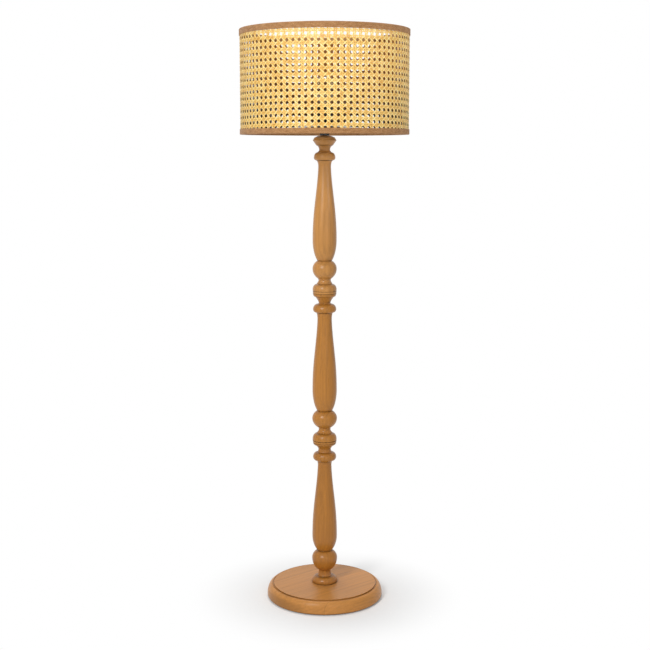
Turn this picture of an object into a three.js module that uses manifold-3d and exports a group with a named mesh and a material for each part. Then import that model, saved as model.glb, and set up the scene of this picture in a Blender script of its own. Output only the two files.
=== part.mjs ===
// Rattan floor lamp: a turned wooden column on a weighted round base, under a drum shade of cane webbing.
// Millimetres, +Z up, the front towards -Y. The origin lies on the floor, on the column's axis.
import * as THREE from "three";
import { mergeVertices } from "three/addons/utils/BufferGeometryUtils.js";
import Module from "manifold-3d";

const wasm = await Module();
wasm.setup();

// Sides of round shapes
const columnSides = 16;
const baseSides = 36;
const shadeSides = 32;
const fittingSides = 16;
const bulbSides = 12;
const padSides = 12;
const bushSides = 12;
const rodSides = 8;
const screwSides = 8;
const wireSides = 6;
const nutSides = 6;
const filamentSides = 3;

// Fits
const gap = 0.3; // between pieces that touch
const overrun = 2; // how far a cut runs past a face
const mergeDistance = 0.0001; // under which two corners are one

// Felt pads under the base
const padCount = 4;
const padRadius = 12;
const padThickness = 2;
const padCircleRadius = 133;

// Base disc
const baseRadius = 161.6;
const baseThickness = 37.8;
const baseTopRadius = 145;
const quirkWidth = 1.8;
const quirkDepth = 3.4;
const mouldingHeight = 28.4; // of the upper, rounded part
const footRoundWidth = 3.5; // of the round that turns in to the underside
const recessRadius = 110;
const recessDepth = 16;
const nutRecessRadius = 22;
const nutRecessDepth = 4.4; // beyond the recess for the weight

// Ballast plate and its screws
const ballastRadius = 108;
const ballastThickness = 6;
const ballastHoleRadius = 24;
const screwCount = 3;
const screwCircleRadius = 66;
const screwRadius = 2;
const screwHeadRadius = 4.2;
const screwHeadHeight = 2.6;
const screwLength = 16;

// Cord inlet at the back of the base
const inletHeight = 7.2; // of its axis above the underside
const bushRadius = 4.4;
const bushBoreRadius = 3.3;
const bushLength = 24;
const bushFlangeRadius = 6.4;
const bushFlangeThickness = 2.2;
const bushSetback = 0.4; // of the flange behind the widest edge

// Hollow threaded rods, their inserts, nut and washer
const rodRadius = 5;
const rodBoreRadius = 3.5;
const rodReach = 22; // into each length of wood
const insertRadius = 7;
const insertLength = 14;
const cordBoreRadius = 6;
const washerRadius = 16;
const washerThickness = 2;
const nutRadius = 9.8; // over the corners
const nutThickness = 6;
const rodTailLength = 3; // below the nut
const nippleReach = 8; // into the holder's cap

// Tenon under the column
const tenonRadius = 14;
const tenonLength = 6;

// Small turned details that all three lengths share
const filletHeight = 1.2;
const beadEdgeWidth = 1.8; // step from a fillet out to its bead
const grooveDepth = 1.4;
const grooveHeight = 1.6;

// Foot of the lower length
const footRadius = 34.9;
const footSideHeight = 1.8;
const footRoundHeight = 15.7;
const footFilletRadius = 20;
const footNeckRadius = 16.3;
const footNeckHeight = 14.5;
const footFlareRadius = 24;
const footFlareHeight = 7.3;

// The three lengths of the column, each from its ball upwards
const lower = {
  ballRadius: 34.7,
  ballLowHeight: 30,
  ballHighHeight: 21.4,
  jointRadius: 20.8,
  swellRadius: 34,
  swellHeight: 41.4,
  waistRadius: 18.5,
  taperHeight: 201.9,
  coveHeight: 13.9,
  filletRadius: 21.5,
  ringRadius: 31.7,
  ringLowHeight: 10.5,
  ringHighHeight: 13.2,
  ringShoulderRadius: 19.5,
  neckRadius: 16.7,
  neckHeight: 8.4,
  cupFlareHeight: 10.7,
  cupHeight: 6.5,
};
const middle = {
  beadRadius: 32.9,
  beadLowHeight: 10.4,
  beadHighHeight: 16.8,
  collarRadius: 21,
  footNeckRadius: 15.9,
  footNeckHeight: 7.8,
  flareRadius: 16.1,
  flareHeight: 6.4,
  ballRadius: 33.8,
  ballLowHeight: 26.7,
  ballHighHeight: 20.6,
  jointRadius: 20.9,
  swellRadius: 33.1,
  swellHeight: 57.7,
  waistRadius: 19.2,
  taperHeight: 195.9,
  coveHeight: 19.2,
  filletRadius: 22.5,
  ringRadius: 31.3,
  ringLowHeight: 8.2,
  ringHighHeight: 14.6,
  ringShoulderRadius: 20,
  neckRadius: 15.5,
  neckHeight: 3,
  cupFlareHeight: 16,
  cupHeight: 9.1,
};
const upper = {
  beadRadius: 32.2,
  beadLowHeight: 11.1,
  beadHighHeight: 14.7,
  collarRadius: 21,
  footNeckRadius: 16.1,
  footNeckHeight: 9,
  flareRadius: 18.3,
  flareHeight: 4.9,
  ballRadius: 32.5,
  ballLowHeight: 26.6,
  ballHighHeight: 21.4,
  jointRadius: 20.1,
  swellRadius: 32.2,
  swellHeight: 55.3,
  waistRadius: 16.6,
  taperHeight: 197.1,
  coveHeight: 16.2,
  filletRadius: 22,
  ringRadius: 28.5,
  ringLowHeight: 7.4,
  ringHighHeight: 13.2,
  ringShoulderRadius: 19.5,
  neckRadius: 14.2,
  neckHeight: 6.4,
};

// Cups that close the lower and middle lengths at the top
const cupRadius = 31.5;
const cupFilletRadius = 24;

// Urn at the top of the column
const urnFilletRadius = 22.8;
const urnFlareHeight = 12.5;
const urnRadius = 31.7;
const urnConeHeight = 11.2;
const urnEdgeHeight = 1.2;
const urnEdgeWidth = 0.9;
const urnShoulderRadius = 27.3;
const urnShoulderHeight = 7;
const urnTopRadius = 15.8;
const urnTopHeight = 5.2;

// Collar between the column and the lamp holder
const collarRadius = 13.2;
const collarHeight = 7.8;
const collarEdge = 0.8;

// Lamp holder
const holderRadius = 20.4;
const holderWall = 2.2;
const capHeight = 13.6;
const capFootRadius = 12.4;
const capFloor = 2.4;
const capRimHeight = 2.6;
const bodyHeight = 59;
const flangeRadius = 24.5;
const flangeThickness = 2.5;
const mouthEdge = 1;
const blockHeight = 26;
const blockBoreRadius = 4;
const contactRadius = 4.6;
const contactThickness = 1.4;
const contactShankLength = 10;
const contactShankRadius = 2;
const shellLength = 24;
const shellWall = 0.7;
const shellClearance = 0.6; // round the cap of the bulb

// Shade ring, screwed down on the fitter
const gripCount = 20;
const ringRadius = 28.4;
const ringGripDepth = 1.2;
const ringHeight = 9;
const ringClearance = 0.6;

// Drum shade
const shadeRadius = 227;
const shadeHeight = 274;
const tapeThickness = 1.1;
const bandHeight = 17.6;
const innerBandHeight = 12;
const webThickness = 2;
const weaveRows = 6;
const wireRadius = 2;
const seamWidth = 20;

// Fitter in the shade's lower rim
const armCount = 3;
const fitterRise = 22.4; // of the plate's underside above the rim
const fitterClearance = 1;
const fitterRadius = 31;
const fitterThickness = 2.5;

// Bulb
const bulbCapRadius = 13.1;
const bulbCapWall = 0.8;
const bulbCapLength = 22.6;
const bulbCapHoleRadius = 9.4;
const bulbTipRadius = 4.2;
const bulbTipHeight = 1.6;
const bulbInsulatorHeight = 2.6;
const bulbInsulatorRadius = 9;
const glassWall = 1.1;
const glassOverlap = 4.2; // of the neck inside the cap
const glassNeckHeight = 9; // above the cap
const glassNeckRadius = 14.2;
const glassRadius = 30;
const glassSwellHeight = 42;
const glassCrownHeight = 28;
const stemFlangeThickness = 1.6;
const stemRadius = 3.4;
const stemLength = 36;
const filamentRadius = 0.5;
const filamentSpan = 24;
const filamentRise = 8;
const filamentPoints = 7;
const filamentSteps = 20;

// Shares of a cell of the webbing
const gapShare = 0.6; // of its width and of its height

// Shares that set the run of the curves
const quarterShare = 0.5523; // a cubic curve with this handle follows a quarter of an ellipse
const taperStartShare = 0.42;
const taperEndShare = 0.35;
const taperEndWidthShare = 0.2;
const crownShare = 0.62;

// Divisions of each kind of curve
const smallCurve = 3;
const ballCurve = 4;
const longCurve = 6;

// Materials
const finish = (color, roughness, metalness) =>
  new THREE.MeshStandardMaterial({ color, roughness, metalness });
const wood = () => finish(0xb07c48, 0.45, 0);
const cane = () => finish(0xe3b878, 0.6, 0);
const tape = () => finish(0xa97c50, 0.85, 0);
const steel = () => finish(0xa9abad, 0.35, 1);
const castIron = () => finish(0x3c3d3f, 0.7, 0.6);
const brass = () => finish(0xb08d4a, 0.3, 1);
const blackPlastic = () => finish(0x17130f, 0.35, 0);
const ceramic = () => finish(0xe8e4da, 0.5, 0);
const felt = () => finish(0x4a4037, 0.95, 0);
const whiteWire = () => finish(0xe6e4de, 0.5, 0.2);
const glass = () => finish(0xf2f5f4, 0.05, 0);

// Keeps position alone, joins equal corners and drops faces that have no area.
function closed(geometry) {
  const bare = geometry.clone();
  for (const name of Object.keys(bare.attributes)) {
    if (name !== "position") bare.deleteAttribute(name);
  }
  const merged = mergeVertices(bare, mergeDistance);
  const old = merged.index.array;
  const kept = [];
  for (let i = 0; i < old.length; i += 3) {
    const [a, b, c] = [old[i], old[i + 1], old[i + 2]];
    if (a !== b && b !== c && c !== a) kept.push(a, b, c);
  }
  merged.setIndex(kept);
  return merged;
}

// Cuts and joins
function solid(geometry) {
  const merged = closed(geometry);
  return new wasm.Manifold(
    new wasm.Mesh({
      numProp: 3,
      vertProperties: new Float32Array(merged.attributes.position.array),
      triVerts: new Uint32Array(merged.index.array),
    }),
  );
}

function geometryOf(body) {
  const mesh = body.getMesh();
  const geometry = new THREE.BufferGeometry();
  geometry.setAttribute("position", new THREE.BufferAttribute(mesh.vertProperties, 3));
  geometry.setIndex(new THREE.BufferAttribute(mesh.triVerts, 1));
  return geometry;
}

function cut(geometry, tools) {
  const start = solid(geometry);
  return geometryOf(tools.reduce((body, tool) => body.subtract(solid(tool)), start));
}

// Turns an outline of [radius, z] pairs or points about the Z axis. One that starts and ends on the
// axis is left as it is, and any other closes on itself.
function turned(outline, sides) {
  let points = outline.map((p) => (Array.isArray(p) ? new THREE.Vector2(...p) : p));
  if (THREE.ShapeUtils.area(points) < 0) points = points.reverse();
  const onAxis = points[0].x === 0 && points[points.length - 1].x === 0;
  if (!onAxis) points.push(points[0].clone());
  return closed(new THREE.LatheGeometry(points, sides).rotateX(Math.PI / 2));
}

// A plain ring or tube between two radii and two heights.
function tube(inner, outer, low, high, sides) {
  return turned([[inner, low], [outer, low], [outer, high], [inner, high]], sides);
}

// A rod on the Z axis between two heights.
function rod(radius, low, high, sides) {
  return closed(
    new THREE.CylinderGeometry(radius, radius, high - low, sides)
      .rotateX(Math.PI / 2)
      .translate(0, 0, (low + high) / 2),
  );
}

// A round wire along a curve, with closed ends.
function wire(curve, radius, sides, steps) {
  const section = new THREE.Shape();
  for (let i = 0; i < sides; i++) {
    const angle = (i / sides) * 2 * Math.PI;
    const [x, y] = [radius * Math.cos(angle), radius * Math.sin(angle)];
    if (i === 0) section.moveTo(x, y);
    else section.lineTo(x, y);
  }
  return closed(new THREE.ExtrudeGeometry(section, { steps, extrudePath: curve, bevelEnabled: false }));
}

function aroundAxis(geometry, angle) {
  return geometry.clone().rotateZ(angle);
}

// Turned outline, followed upwards. Each move starts where the last one ended, and says the radius it
// reaches and how far it rises.
class Profile {
  constructor(radius, z) {
    this.points = [new THREE.Vector2(radius, z)];
  }
  get end() {
    return this.points[this.points.length - 1];
  }
  follow(curve, divisions) {
    this.points.push(...curve.getPoints(divisions).slice(1));
    return this;
  }
  // Straight on
  line(radius, rise) {
    this.points.push(new THREE.Vector2(radius, this.end.y + rise));
    return this;
  }
  // Leaves upright and arrives level: a cove that opens out, or a shoulder that closes in
  upright(radius, rise, divisions = smallCurve) {
    const { x, y } = this.end;
    return this.bezier(0, quarterShare * rise, quarterShare * (radius - x), 0, radius - x, rise, divisions);
  }
  // Leaves level and arrives upright: a round that swells out, or a cove that closes in
  level(radius, rise, divisions = smallCurve) {
    const { x } = this.end;
    return this.bezier(quarterShare * (radius - x), 0, 0, quarterShare * rise, radius - x, rise, divisions);
  }
  // A cubic curve: the first handle from the start, the second back from the end, and the end
  bezier(ax, ay, bx, by, dx, dy, divisions) {
    const start = this.end;
    const end = new THREE.Vector2(start.x + dx, start.y + dy);
    const first = new THREE.Vector2(start.x + ax, start.y + ay);
    const second = new THREE.Vector2(end.x - bx, end.y - by);
    return this.follow(new THREE.CubicBezierCurve(start, first, second, end), divisions);
  }
  // Part of a spheroid on the axis, from here out to its widest
  swell(radius, rise, divisions = ballCurve) {
    const { x, y } = this.end;
    const angle = Math.acos(x / radius);
    const arc = new THREE.EllipseCurve(0, y + rise, radius, rise / Math.sin(angle), -angle, 0, false);
    return this.follow(arc, divisions);
  }
  // Part of a spheroid on the axis, from its widest, here, in to a smaller radius
  close(radius, rise, divisions = ballCurve) {
    const { x, y } = this.end;
    const angle = Math.acos(radius / x);
    const arc = new THREE.EllipseCurve(0, y, x, rise / Math.sin(angle), 0, angle, false);
    return this.follow(arc, divisions);
  }
  // The long, slack taper of a baluster
  taper(radius, rise) {
    const across = radius - this.end.x;
    return this.bezier(
      0,
      taperStartShare * rise,
      taperEndWidthShare * across,
      taperEndShare * rise,
      across,
      rise,
      longCurve,
    );
  }
}

// Ball, baluster and ring bead, up to the neck above the ring
function balusterTurning(profile, t) {
  return profile
    .swell(t.ballRadius, t.ballLowHeight)
    .close(t.jointRadius, t.ballHighHeight)
    .line(t.jointRadius - grooveDepth, grooveHeight / 2)
    .line(t.jointRadius, grooveHeight / 2)
    .swell(t.swellRadius, t.swellHeight)
    .taper(t.waistRadius, t.taperHeight)
    .upright(t.filletRadius, t.coveHeight)
    .line(t.filletRadius, filletHeight)
    .line(t.filletRadius + beadEdgeWidth, 0)
    .level(t.ringRadius, t.ringLowHeight)
    .upright(t.ringShoulderRadius, t.ringHighHeight)
    .line(t.ringShoulderRadius - beadEdgeWidth, 0)
    .level(t.neckRadius, t.neckHeight);
}

// Rounded bead, neck and flare at the foot of the middle and upper lengths
function beadTurning(t) {
  return new Profile(cupRadius, 0)
    .swell(t.beadRadius, t.beadLowHeight, smallCurve)
    .upright(t.collarRadius + beadEdgeWidth, t.beadHighHeight)
    .line(t.collarRadius, 0)
    .line(t.collarRadius, filletHeight)
    .level(t.footNeckRadius, t.footNeckHeight)
    .upright(t.flareRadius, t.flareHeight);
}

// Cup at the top of the lower and middle lengths
function cupTurning(profile, t) {
  return profile
    .upright(cupFilletRadius, t.cupFlareHeight)
    .line(cupFilletRadius, filletHeight)
    .line(cupFilletRadius + beadEdgeWidth, 0)
    .level(cupRadius, t.cupHeight);
}

const lowerProfile = balusterTurning(
  new Profile(footRadius, 0)
    .line(footRadius, footSideHeight)
    .upright(footFilletRadius + beadEdgeWidth, footRoundHeight)
    .line(footFilletRadius, filletHeight)
    .level(footNeckRadius, footNeckHeight)
    .upright(footFlareRadius, footFlareHeight),
  lower,
);
cupTurning(lowerProfile, lower);

const middleProfile = balusterTurning(beadTurning(middle), middle);
cupTurning(middleProfile, middle);

const upperProfile = balusterTurning(beadTurning(upper), upper)
  .upright(urnFilletRadius, urnFlareHeight)
  .line(urnFilletRadius, filletHeight)
  .line(urnRadius - urnEdgeWidth, urnConeHeight)
  .line(urnRadius, urnEdgeHeight / 2)
  .line(urnRadius - urnEdgeWidth, urnEdgeHeight / 2)
  .line(urnShoulderRadius, urnShoulderHeight)
  .line(urnTopRadius, urnTopHeight);

// Heights of what stands on what
const baseTop = padThickness + baseThickness;
const lowerFoot = baseTop + gap;
const middleFoot = lowerFoot + lowerProfile.end.y + gap;
const upperFoot = middleFoot + middleProfile.end.y + gap;
const collarFoot = upperFoot + upperProfile.end.y + gap;
const capFoot = collarFoot + collarHeight + gap;
const bodyFoot = capFoot + capHeight + gap;
const plateFoot = bodyFoot + flangeThickness + gap;
const shadeFoot = plateFoot - fitterRise;
const nutCeiling = padThickness + recessDepth + nutRecessDepth;
const washerFoot = nutCeiling - gap - washerThickness;
const nutFoot = washerFoot - gap - nutThickness;
const blockFoot = bodyFoot + gap;
const contactFoot = blockFoot + blockHeight + gap;
const bulbFoot = contactFoot + contactThickness + gap;

const root = new THREE.Group();
const stand = new THREE.Group();
const shade = new THREE.Group();
const bulb = new THREE.Group();
shade.position.z = shadeFoot;
bulb.position.z = bulbFoot;
root.add(stand, shade, bulb);

function add(group, name, geometry, material, x = 0, y = 0, z = 0) {
  const mesh = new THREE.Mesh(geometry, material);
  mesh.name = name;
  mesh.position.set(x, y, z);
  group.add(mesh);
  return mesh;
}

// Places evenly round the axis, from a first angle
const roundPlaces = (count, radius, first) =>
  Array.from({ length: count }, (_, i) => {
    const angle = first + (i / count) * 2 * Math.PI;
    return [radius * Math.cos(angle), radius * Math.sin(angle), angle];
  });

// Felt pads
roundPlaces(padCount, padCircleRadius, Math.PI / padCount).forEach(([x, y], i) => {
  add(stand, `felt_pad_${i + 1}`, rod(padRadius, 0, padThickness - gap, padSides), felt(), x, y);
});

// Base disc: a quirk and a rounded moulding round a flat top, recessed below for the weight and the nut
const socketDepth = tenonLength + gap;
const bushHoleRadius = bushRadius + gap;
const screwPlaces = roundPlaces(screwCount, screwCircleRadius, Math.PI / 2 + Math.PI / screwCount);

function baseDisc() {
  const mouldingTop = baseThickness - quirkDepth;
  const widest = mouldingTop - mouldingHeight;
  const outside = new Profile(baseRadius - footRoundWidth, 0)
    .level(baseRadius, widest, ballCurve)
    .upright(baseTopRadius + quirkWidth, mouldingHeight, longCurve)
    .line(baseTopRadius, 0)
    .line(baseTopRadius, quirkDepth);
  const body = turned(
    [
      ...outside.points,
      [tenonRadius + gap, baseThickness],
      [tenonRadius + gap, baseThickness - socketDepth],
      [cordBoreRadius, baseThickness - socketDepth],
      [cordBoreRadius, recessDepth + nutRecessDepth],
      [nutRecessRadius, recessDepth + nutRecessDepth],
      [nutRecessRadius, recessDepth],
      [recessRadius, recessDepth],
      [recessRadius, 0],
    ],
    baseSides,
  );
  const bushBack = baseRadius - bushSetback - bushFlangeThickness - gap;
  const inlet = rod(bushHoleRadius, recessRadius - overrun, baseRadius + overrun, bushSides);
  const inletSeat = rod(bushFlangeRadius + gap, bushBack, baseRadius + overrun, bushSides);
  const alongY = (geometry) => geometry.rotateX(-Math.PI / 2).translate(0, 0, inletHeight);
  const pilotEnd = recessDepth + screwLength - ballastThickness + gap;
  const pilots = screwPlaces.map(([x, y]) =>
    rod(screwRadius + gap, recessDepth - overrun, pilotEnd, screwSides).translate(x, y, 0),
  );
  return cut(body, [alongY(inlet), alongY(inletSeat), ...pilots]);
}
add(stand, "base_disc", baseDisc(), wood(), 0, 0, padThickness);

// Bush that the cord enters through
const bush = turned(
  [
    [bushBoreRadius, 0],
    [bushFlangeRadius, 0],
    [bushFlangeRadius, -bushFlangeThickness],
    [bushRadius, -bushFlangeThickness],
    [bushRadius, -bushLength],
    [bushBoreRadius, -bushLength],
  ],
  bushSides,
).rotateX(-Math.PI / 2);
add(stand, "cord_bush", bush, blackPlastic(), 0, baseRadius - bushSetback, padThickness + inletHeight);

// Ballast plate, with a clearance hole for the nut and countersunk holes
function ballastPlate() {
  const plate = tube(ballastHoleRadius, ballastRadius, 0, ballastThickness, baseSides);
  const holes = screwPlaces.map(([x, y]) =>
    turned(
      [
        [0, -overrun],
        [screwHeadRadius + gap, -overrun],
        [screwHeadRadius + gap, 0],
        [screwRadius + gap, screwHeadHeight],
        [screwRadius + gap, ballastThickness + overrun],
        [0, ballastThickness + overrun],
      ],
      screwSides,
    ).translate(x, y, 0),
  );
  return cut(plate, holes);
}
const ballastFoot = padThickness + recessDepth - gap - ballastThickness;
add(stand, "base_weight", ballastPlate(), castIron(), 0, 0, ballastFoot);

const ballastScrew = turned(
  [
    [0, 0],
    [screwHeadRadius, 0],
    [screwRadius, screwHeadHeight],
    [screwRadius, screwLength],
    [0, screwLength],
  ],
  screwSides,
);
screwPlaces.forEach(([x, y], i) => {
  add(stand, `weight_screw_${i + 1}`, ballastScrew, steel(), x, y, ballastFoot);
});

// Washer, nut and threaded rods
const rodHole = rodRadius + gap;
const washer = tube(rodHole, washerRadius, 0, washerThickness, fittingSides);
add(stand, "base_washer", washer, steel(), 0, 0, washerFoot);

function hexNut() {
  const outline = new THREE.Shape();
  for (let i = 0; i < nutSides; i++) {
    const angle = (i / nutSides) * 2 * Math.PI;
    const [x, y] = [nutRadius * Math.cos(angle), nutRadius * Math.sin(angle)];
    if (i === 0) outline.moveTo(x, y);
    else outline.lineTo(x, y);
  }
  const block = new THREE.ExtrudeGeometry(outline, { depth: nutThickness, bevelEnabled: false });
  return cut(block, [rod(rodHole, -overrun, nutThickness + overrun, rodSides)]);
}
add(stand, "base_nut", hexNut(), steel(), 0, 0, nutFoot);

const threadedRod = (low, high) => tube(rodBoreRadius, rodRadius, low, high, rodSides);
const tenonFoot = lowerFoot - tenonLength;
add(stand, "base_rod", threadedRod(nutFoot - rodTailLength, tenonFoot + rodReach), steel());
add(stand, "lower_rod", threadedRod(middleFoot - rodReach, middleFoot + rodReach), steel());
add(stand, "upper_rod", threadedRod(upperFoot - rodReach, upperFoot + rodReach), steel());
add(stand, "holder_nipple", threadedRod(collarFoot - rodReach, capFoot + nippleReach), steel());

// A length of the column, bored for the cord and counterbored at both ends for the inserts
function columnLength(profile, tenon) {
  const top = profile.end.y;
  const foot = tenon ? -tenonLength : 0;
  const seat = insertLength + gap;
  const wide = insertRadius + gap;
  const tenonCorners = tenon ? [[tenonRadius, foot], [tenonRadius, 0]] : [];
  return turned(
    [
      ...tenonCorners,
      ...profile.points,
      [wide, top],
      [wide, top - seat],
      [cordBoreRadius, top - seat],
      [cordBoreRadius, foot + seat],
      [wide, foot + seat],
      [wide, foot],
    ],
    columnSides,
  );
}
add(stand, "lower_column", columnLength(lowerProfile, true), wood(), 0, 0, lowerFoot);
add(stand, "middle_column", columnLength(middleProfile, false), wood(), 0, 0, middleFoot);
add(stand, "upper_column", columnLength(upperProfile, false), wood(), 0, 0, upperFoot);

const insert = tube(rodHole, insertRadius, 0, insertLength, rodSides);
const insertSeats = {
  lower_insert_bottom: tenonFoot,
  lower_insert_top: middleFoot - gap - insertLength,
  middle_insert_bottom: middleFoot,
  middle_insert_top: upperFoot - gap - insertLength,
  upper_insert_bottom: upperFoot,
  upper_insert_top: collarFoot - gap - insertLength,
};
for (const [name, z] of Object.entries(insertSeats)) add(stand, name, insert, brass(), 0, 0, z);

// Collar on top of the column
const collar = turned(
  [
    [rodHole, 0],
    [collarRadius - collarEdge, 0],
    [collarRadius, collarEdge],
    [collarRadius, collarHeight - collarEdge],
    [collarRadius - collarEdge, collarHeight],
    [rodHole, collarHeight],
  ],
  fittingSides,
);
add(stand, "collar", collar, blackPlastic(), 0, 0, collarFoot);

// Lamp holder: a domed cap, a threaded body with the flange that carries the shade, and its inside
function holderCap() {
  const outside = new Profile(capFootRadius, 0)
    .line(capFootRadius, capFloor)
    .level(holderRadius, capHeight - capFloor - capRimHeight, ballCurve)
    .line(holderRadius, capRimHeight);
  const inside = new Profile(rodHole, capFloor)
    .line(capFootRadius - holderWall, 0)
    .level(holderRadius - holderWall, capHeight - capFloor - capRimHeight, ballCurve)
    .line(holderRadius - holderWall, capRimHeight);
  return turned([...outside.points, ...inside.points.reverse(), [rodHole, 0]], fittingSides);
}
add(stand, "holder_cap", holderCap(), blackPlastic(), 0, 0, capFoot);

const bodyBore = holderRadius - holderWall;
const holderBody = turned(
  [
    [bodyBore, 0],
    [flangeRadius, 0],
    [flangeRadius, flangeThickness],
    [holderRadius, flangeThickness],
    [holderRadius, bodyHeight - mouthEdge],
    [holderRadius - mouthEdge, bodyHeight],
    [bodyBore, bodyHeight],
  ],
  fittingSides,
);
add(stand, "holder_body", holderBody, blackPlastic(), 0, 0, bodyFoot);

const contactBlock = tube(blockBoreRadius, bodyBore - gap, 0, blockHeight, fittingSides);
add(stand, "contact_block", contactBlock, ceramic(), 0, 0, blockFoot);

const centreContact = turned(
  [
    [0, -contactShankLength],
    [contactShankRadius, -contactShankLength],
    [contactShankRadius, 0],
    [contactRadius, 0],
    [contactRadius, contactThickness],
    [0, contactThickness],
  ],
  screwSides,
);
add(stand, "centre_contact", centreContact, brass(), 0, 0, contactFoot);

const shellBore = bulbCapRadius + shellClearance;
const threadedShell = tube(shellBore, shellBore + shellWall, 0, shellLength, fittingSides);
add(stand, "threaded_shell", threadedShell, brass(), 0, 0, contactFoot);

// Ring that clamps the shade, with a gripping edge
function shadeRing() {
  const outline = new THREE.Shape();
  for (let i = 0; i < gripCount * 2; i++) {
    const angle = (i / (gripCount * 2)) * 2 * Math.PI;
    const radius = ringRadius - (i % 2) * ringGripDepth;
    const [x, y] = [radius * Math.cos(angle), radius * Math.sin(angle)];
    if (i === 0) outline.moveTo(x, y);
    else outline.lineTo(x, y);
  }
  const block = new THREE.ExtrudeGeometry(outline, { depth: ringHeight, bevelEnabled: false });
  return cut(block, [rod(holderRadius + ringClearance, -overrun, ringHeight + overrun, fittingSides)]);
}
add(stand, "shade_ring", shadeRing(), blackPlastic(), 0, 0, plateFoot + fitterThickness + gap);

// Radii of the shade, from its outside inwards
const webOuter = shadeRadius - tapeThickness - gap;
const webInner = webOuter - webThickness;
const hoopRadius = webInner - gap - wireRadius;
const innerBandOuter = hoopRadius - wireRadius - gap;
const innerBandInner = innerBandOuter - tapeThickness;
const hoopHeight = tapeThickness + gap + wireRadius;

// Fitter: a plate that the ring clamps, and arms from it down to the lower hoop
const armAngles = roundPlaces(armCount, 0, Math.PI / 2).map((place) => place[2]);
const armCurve = new THREE.LineCurve3(
  new THREE.Vector3(fitterRadius - wireRadius, 0, fitterRise + fitterThickness / 2),
  new THREE.Vector3(hoopRadius * Math.cos(Math.PI / shadeSides), 0, hoopHeight),
);
const hoop = (radius) => closed(new THREE.TorusGeometry(hoopRadius, radius, wireSides, shadeSides));
const armAt = (angle, radius) => aroundAxis(wire(armCurve, radius, wireSides, 1), angle);

const plateHole = holderRadius + fitterClearance;
const plate = tube(plateHole, fitterRadius, fitterRise, fitterRise + fitterThickness, fittingSides);
add(shade, "fitter_plate", plate, whiteWire());
armAngles.forEach((angle, i) => {
  const plateSeat = rod(fitterRadius + gap, 0, shadeHeight, fittingSides);
  const hoopSeat = hoop(wireRadius + gap).translate(0, 0, hoopHeight);
  add(shade, `fitter_arm_${i + 1}`, cut(armAt(angle, wireRadius), [plateSeat, hoopSeat]), whiteWire());
});
add(shade, "bottom_hoop", hoop(wireRadius), whiteWire(), 0, 0, hoopHeight);
add(shade, "top_hoop", hoop(wireRadius), whiteWire(), 0, 0, shadeHeight - hoopHeight);

// Cane webbing: a thin drum of flat facets between the hoops and the tape. Between the two bands of
// tape each facet has a column of diamond gaps.
function webbing() {
  const facet = (2 * Math.PI) / shadeSides;
  const foot = tapeThickness + gap;
  const cellHeight = (shadeHeight - 2 * bandHeight) / weaveRows;
  const heights = [foot];
  for (let row = 0; row <= weaveRows; row++) heights.push(bandHeight + row * cellHeight);
  heights.push(shadeHeight - foot);

  const radii = [webOuter, webInner];
  const positions = [];
  const place = (radius, side, z) => {
    const step = Math.floor(side);
    const [from, to] = [step, step + 1].map((i) => {
      const angle = Math.PI / 2 + (i % shadeSides) * facet;
      return new THREE.Vector2(Math.cos(angle), Math.sin(angle)).multiplyScalar(radius);
    });
    const { x, y } = from.lerp(to, side - step);
    return positions.push(x, y, z) / 3 - 1;
  };
  const corners = radii.map((radius) =>
    heights.map((z) => Array.from({ length: shadeSides }, (_, i) => place(radius, i, z))),
  );
  const faces = [];
  // Adds a polygon as a fan, turned round on the inside of the drum.
  const face = (inside, ...loop) => {
    const ordered = inside ? [...loop].reverse() : loop;
    for (let i = 1; i + 1 < ordered.length; i++) faces.push(ordered[0], ordered[i], ordered[i + 1]);
  };

  for (let i = 0; i < shadeSides; i++) {
    const next = (i + 1) % shadeSides;
    const cell = (layer, row) => {
      const [low, high] = [corners[layer][row], corners[layer][row + 1]];
      return [low[i], low[next], high[next], high[i]];
    };
    for (let row = 0; row + 1 < heights.length; row++) {
      const plain = row === 0 || row > weaveRows;
      if (plain) {
        radii.forEach((_, layer) => face(layer, ...cell(layer, row)));
        continue;
      }
      const middleZ = (heights[row] + heights[row + 1]) / 2;
      const halfTall = (gapShare * cellHeight) / 2;
      const rims = radii.map((radius, layer) => {
        const rim = [
          place(radius, i + 1 / 2, middleZ - halfTall),
          place(radius, i + 1 / 2 + gapShare / 2, middleZ),
          place(radius, i + 1 / 2, middleZ + halfTall),
          place(radius, i + 1 / 2 - gapShare / 2, middleZ),
        ];
        const outer = cell(layer, row);
        outer.forEach((corner, k) => {
          face(layer, corner, outer[(k + 1) % outer.length], rim[k]);
          face(layer, outer[(k + 1) % outer.length], rim[(k + 1) % rim.length], rim[k]);
        });
        return rim;
      });
      rims[0].forEach((_, k) => {
        const after = (k + 1) % rims[0].length;
        face(false, rims[0][k], rims[0][after], rims[1][after], rims[1][k]);
      });
    }
    const [outerFoot, innerFoot] = radii.map((_, layer) => cell(layer, 0));
    const [outerTop, innerTop] = radii.map((_, layer) => cell(layer, heights.length - 2));
    face(false, outerFoot[1], outerFoot[0], innerFoot[0], innerFoot[1]);
    face(false, outerTop[3], outerTop[2], innerTop[2], innerTop[3]);
  }
  const geometry = new THREE.BufferGeometry();
  geometry.setAttribute("position", new THREE.Float32BufferAttribute(positions, 3));
  geometry.setIndex(faces);
  return geometry;
}
add(shade, "cane_webbing", webbing(), cane());

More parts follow.
